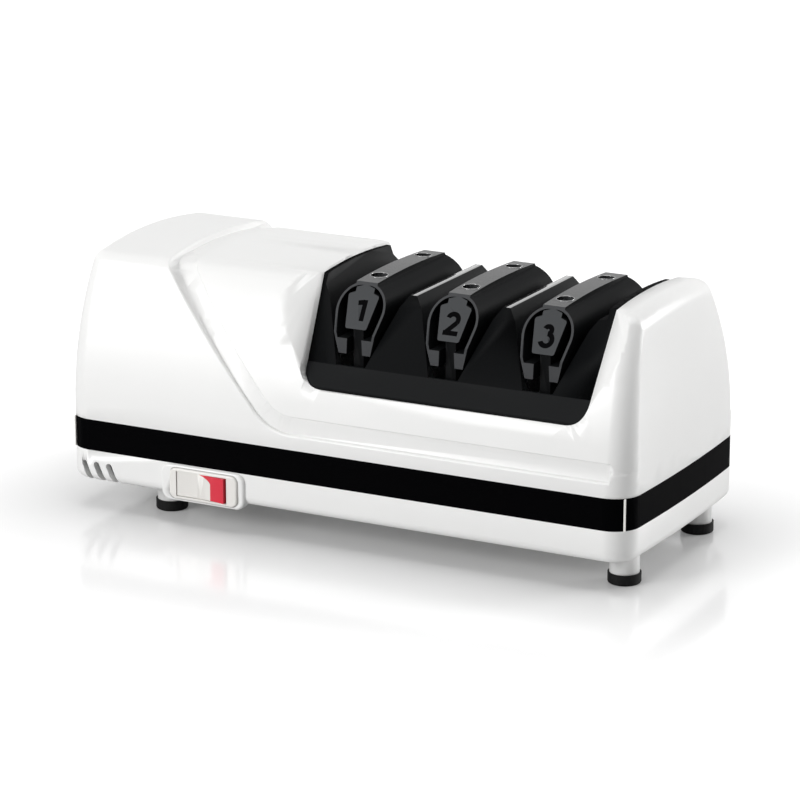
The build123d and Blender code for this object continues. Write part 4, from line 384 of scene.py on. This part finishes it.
for i, kind in zip(STAGES, ("coarse", "fine", "stropping")):
    spring = f"disk_spring_{i}"
    middle = middle_of(spring)
    for side in ("left", "right"):
        half = finished(spring, ground_steel)
        half.name = f"{spring}_{side}_half"
        bpy.ops.object.mode_set(mode="EDIT")
        bpy.ops.mesh.select_all(action="SELECT")
        bpy.ops.mesh.bisect(plane_co=middle, plane_no=(1, 0, 0), use_fill=True,
                            clear_inner=side == "right", clear_outer=side == "left")
        bpy.ops.object.mode_set(mode="OBJECT")
        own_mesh(half)

# ---------------------------------------------------------------- small pieces that the solids leave out

SEAM_WIDTH, SEAM_DEPTH = 0.46, 1.1
SEAM_PAST_BAND = 0.25          # from the band's end to the middle of the seam
SEAM_SHORTER = 0.2             # than the band is high, so that it stays inside the recess
SEAM_Y = -51.25
HOLE_Y, HOLE_RADIUS, RIM_HALF_THICKNESS = 19.0, 3.5, 0.14
LAND_Z, LAND_TILT = 104.78, 2.6


def fixed_to_housing(piece, name, material):
    """Name a new piece, give it its finish and tie it to the housing."""
    piece.name = name
    only(piece)
    bpy.ops.object.transform_apply(location=True, rotation=True, scale=True)
    wear(piece, material)
    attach(piece, "housing")


# pale strips set into the seam where the front strip of the band ends, so that its depth does not show dark
band_low, band_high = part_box("front_band")
seam_x = band_high[0] + SEAM_PAST_BAND * MM
seam_height = band_high[2] - band_low[2] - SEAM_SHORTER * MM
for name, x in (("left", -seam_x), ("right", seam_x)):
    bpy.ops.mesh.primitive_cube_add(size=1, location=(x, SEAM_Y * MM, middle_of("front_band")[2]))
    strip = bpy.context.object
    strip.scale = (SEAM_WIDTH * MM, SEAM_DEPTH * MM, seam_height)
    fixed_to_housing(strip, "band_seam_" + name, switch_abs)

# eased rims of the screw holes, which catch the light
for i, x in zip(STAGES, STAGES_X):
    for name, side in (("front", -1), ("back", 1)):
        bpy.ops.mesh.primitive_torus_add(location=(x * MM, side * HOLE_Y * MM, LAND_Z * MM),
                                         rotation=(-side * radians(LAND_TILT), 0, 0),
                                         major_radius=HOLE_RADIUS * MM, minor_radius=RIM_HALF_THICKNESS * MM,
                                         minor_segments=8)
        fixed_to_housing(bpy.context.object, f"hole_rim_{i}_{name}", polished_black)
        bpy.ops.object.shade_smooth()

# ---------------------------------------------------------------- lamps

LAMP_AIM = (0, 0, 0.05)


def softbox(name, azimuth, elevation, distance, size, watts):
    """A square lamp on a circle round the object, facing it."""
    az, el = radians(azimuth), radians(elevation)
    bpy.ops.object.light_add(type="AREA", rotation=(pi / 2 - el, 0, az), location=(
        LAMP_AIM[0] + distance * sin(az) * cos(el),
        LAMP_AIM[1] - distance * cos(az) * cos(el),
        LAMP_AIM[2] + distance * sin(el)))
    lamp = bpy.context.object
    lamp.name = name
    lamp.data.shape = "SQUARE"
    lamp.data.size = size
    lamp.data.energy = watts


softbox("softbox_left", azimuth=-30, elevation=18, distance=1.6, size=0.8, watts=16.5)
softbox("softbox_right", azimuth=131, elevation=15, distance=1.6, size=0.7, watts=16.0)
softbox("softbox_above", azimuth=0, elevation=88, distance=1.5, size=1.1, watts=12.5)

# ---------------------------------------------------------------- floor

# white acrylic sheet: glossy enough to mirror the machine faintly. Camera rays see a white glow added to it,
# weakest at the machine's outline and growing with the distance from it: painted shade round the machine
FLOOR_SIZE = 9
OUTLINE = (0.102, 0.028, 1.0)  # half the sizes of the box where the glow starts
SHADE_FADE_REACH, SHADE_FADE_NEAR, SHADE_FADE_FAR = 0.125, 0.06, 0.55

floor_paint, floor_shader, floor_place = new_finish("white_acrylic_sheet", "#d0d0d0", 0.13)
reach = add_node(floor_paint, "ShaderNodeVectorMath", {"operation": "ABSOLUTE"}, {0: floor_place})
reach = add_node(floor_paint, "ShaderNodeVectorMath", {"operation": "SUBTRACT", 1: OUTLINE},
                 {0: reach.outputs["Vector"]})
reach = add_node(floor_paint, "ShaderNodeVectorMath", {"operation": "MAXIMUM"}, {0: reach.outputs["Vector"]})
reach = add_node(floor_paint, "ShaderNodeVectorMath", {"operation": "LENGTH"}, {0: reach.outputs["Vector"]})
# painted shade: the glow is low at the outline and rises farther out, so the floor darkens towards the
# machine
shade_fade = add_node(floor_paint, "ShaderNodeMapRange",
                {"From Max": SHADE_FADE_REACH, "To Min": SHADE_FADE_NEAR, "To Max": SHADE_FADE_FAR},
                {"Value": reach.outputs["Value"]})
seen = add_node(floor_paint, "ShaderNodeLightPath").outputs["Is Camera Ray"]
seen_shade_fade = add_node(floor_paint, "ShaderNodeMath", {"operation": "MULTIPLY"},
                     {0: seen, 1: shade_fade.outputs["Result"]})
floor_shader.inputs["Emission Color"].default_value = (1, 1, 1, 1)
drive(floor_shader, Emission_Strength=seen_shade_fade.outputs["Value"])

bpy.ops.mesh.primitive_plane_add(size=FLOOR_SIZE, location=(0, 0, 0))
floor = bpy.context.object
floor.name = "floor"
wear(floor, floor_paint)

# ---------------------------------------------------------------- surroundings

AMBIENT, WHITE = 0.15, 1.0     # strength as the object's light, and as what the eye and mirrors see

world = bpy.data.worlds.new("studio")
bpy.context.scene.world = world
world.use_nodes = True
rays = add_node(world, "ShaderNodeLightPath")
pale = add_node(world, "ShaderNodeMath", {"operation": "MAXIMUM"},
                {0: rays.outputs["Is Camera Ray"], 1: rays.outputs["Is Glossy Ray"]})
pale = add_node(world, "ShaderNodeMath", {"operation": "MAXIMUM"},
                {0: pale.outputs["Value"], 1: rays.outputs["Is Transmission Ray"]})
level = add_node(world, "ShaderNodeMapRange", {"To Min": AMBIENT, "To Max": WHITE},
                 {"Value": pale.outputs["Value"]})
studio_light = world.node_tree.nodes["Background"]
studio_light.inputs["Color"].default_value = (1, 1, 1, 1)
drive(studio_light, Strength=level.outputs["Result"])

# ---------------------------------------------------------------- camera

AIM = (0.00003, 0.0, 0.04831)
AZIMUTH, ELEVATION, DISTANCE = radians(27.64), radians(16.03), 1.44213
LENS, SENSOR_WIDTH = 160.18, 36
NEAREST, FARTHEST = 0.05, 30

away = (sin(AZIMUTH) * cos(ELEVATION), -cos(AZIMUTH) * cos(ELEVATION), sin(ELEVATION))
bpy.ops.object.camera_add(location=[a + DISTANCE * b for a, b in zip(AIM, away)],
                          rotation=(pi / 2 - ELEVATION, 0, AZIMUTH))
camera = bpy.context.object
camera.data.lens = LENS
camera.data.sensor_width = SENSOR_WIDTH
camera.data.clip_start = NEAREST
camera.data.clip_end = FARTHEST
bpy.context.scene.camera = camera
bpy.context.scene.view_settings.view_transform = "Standard"
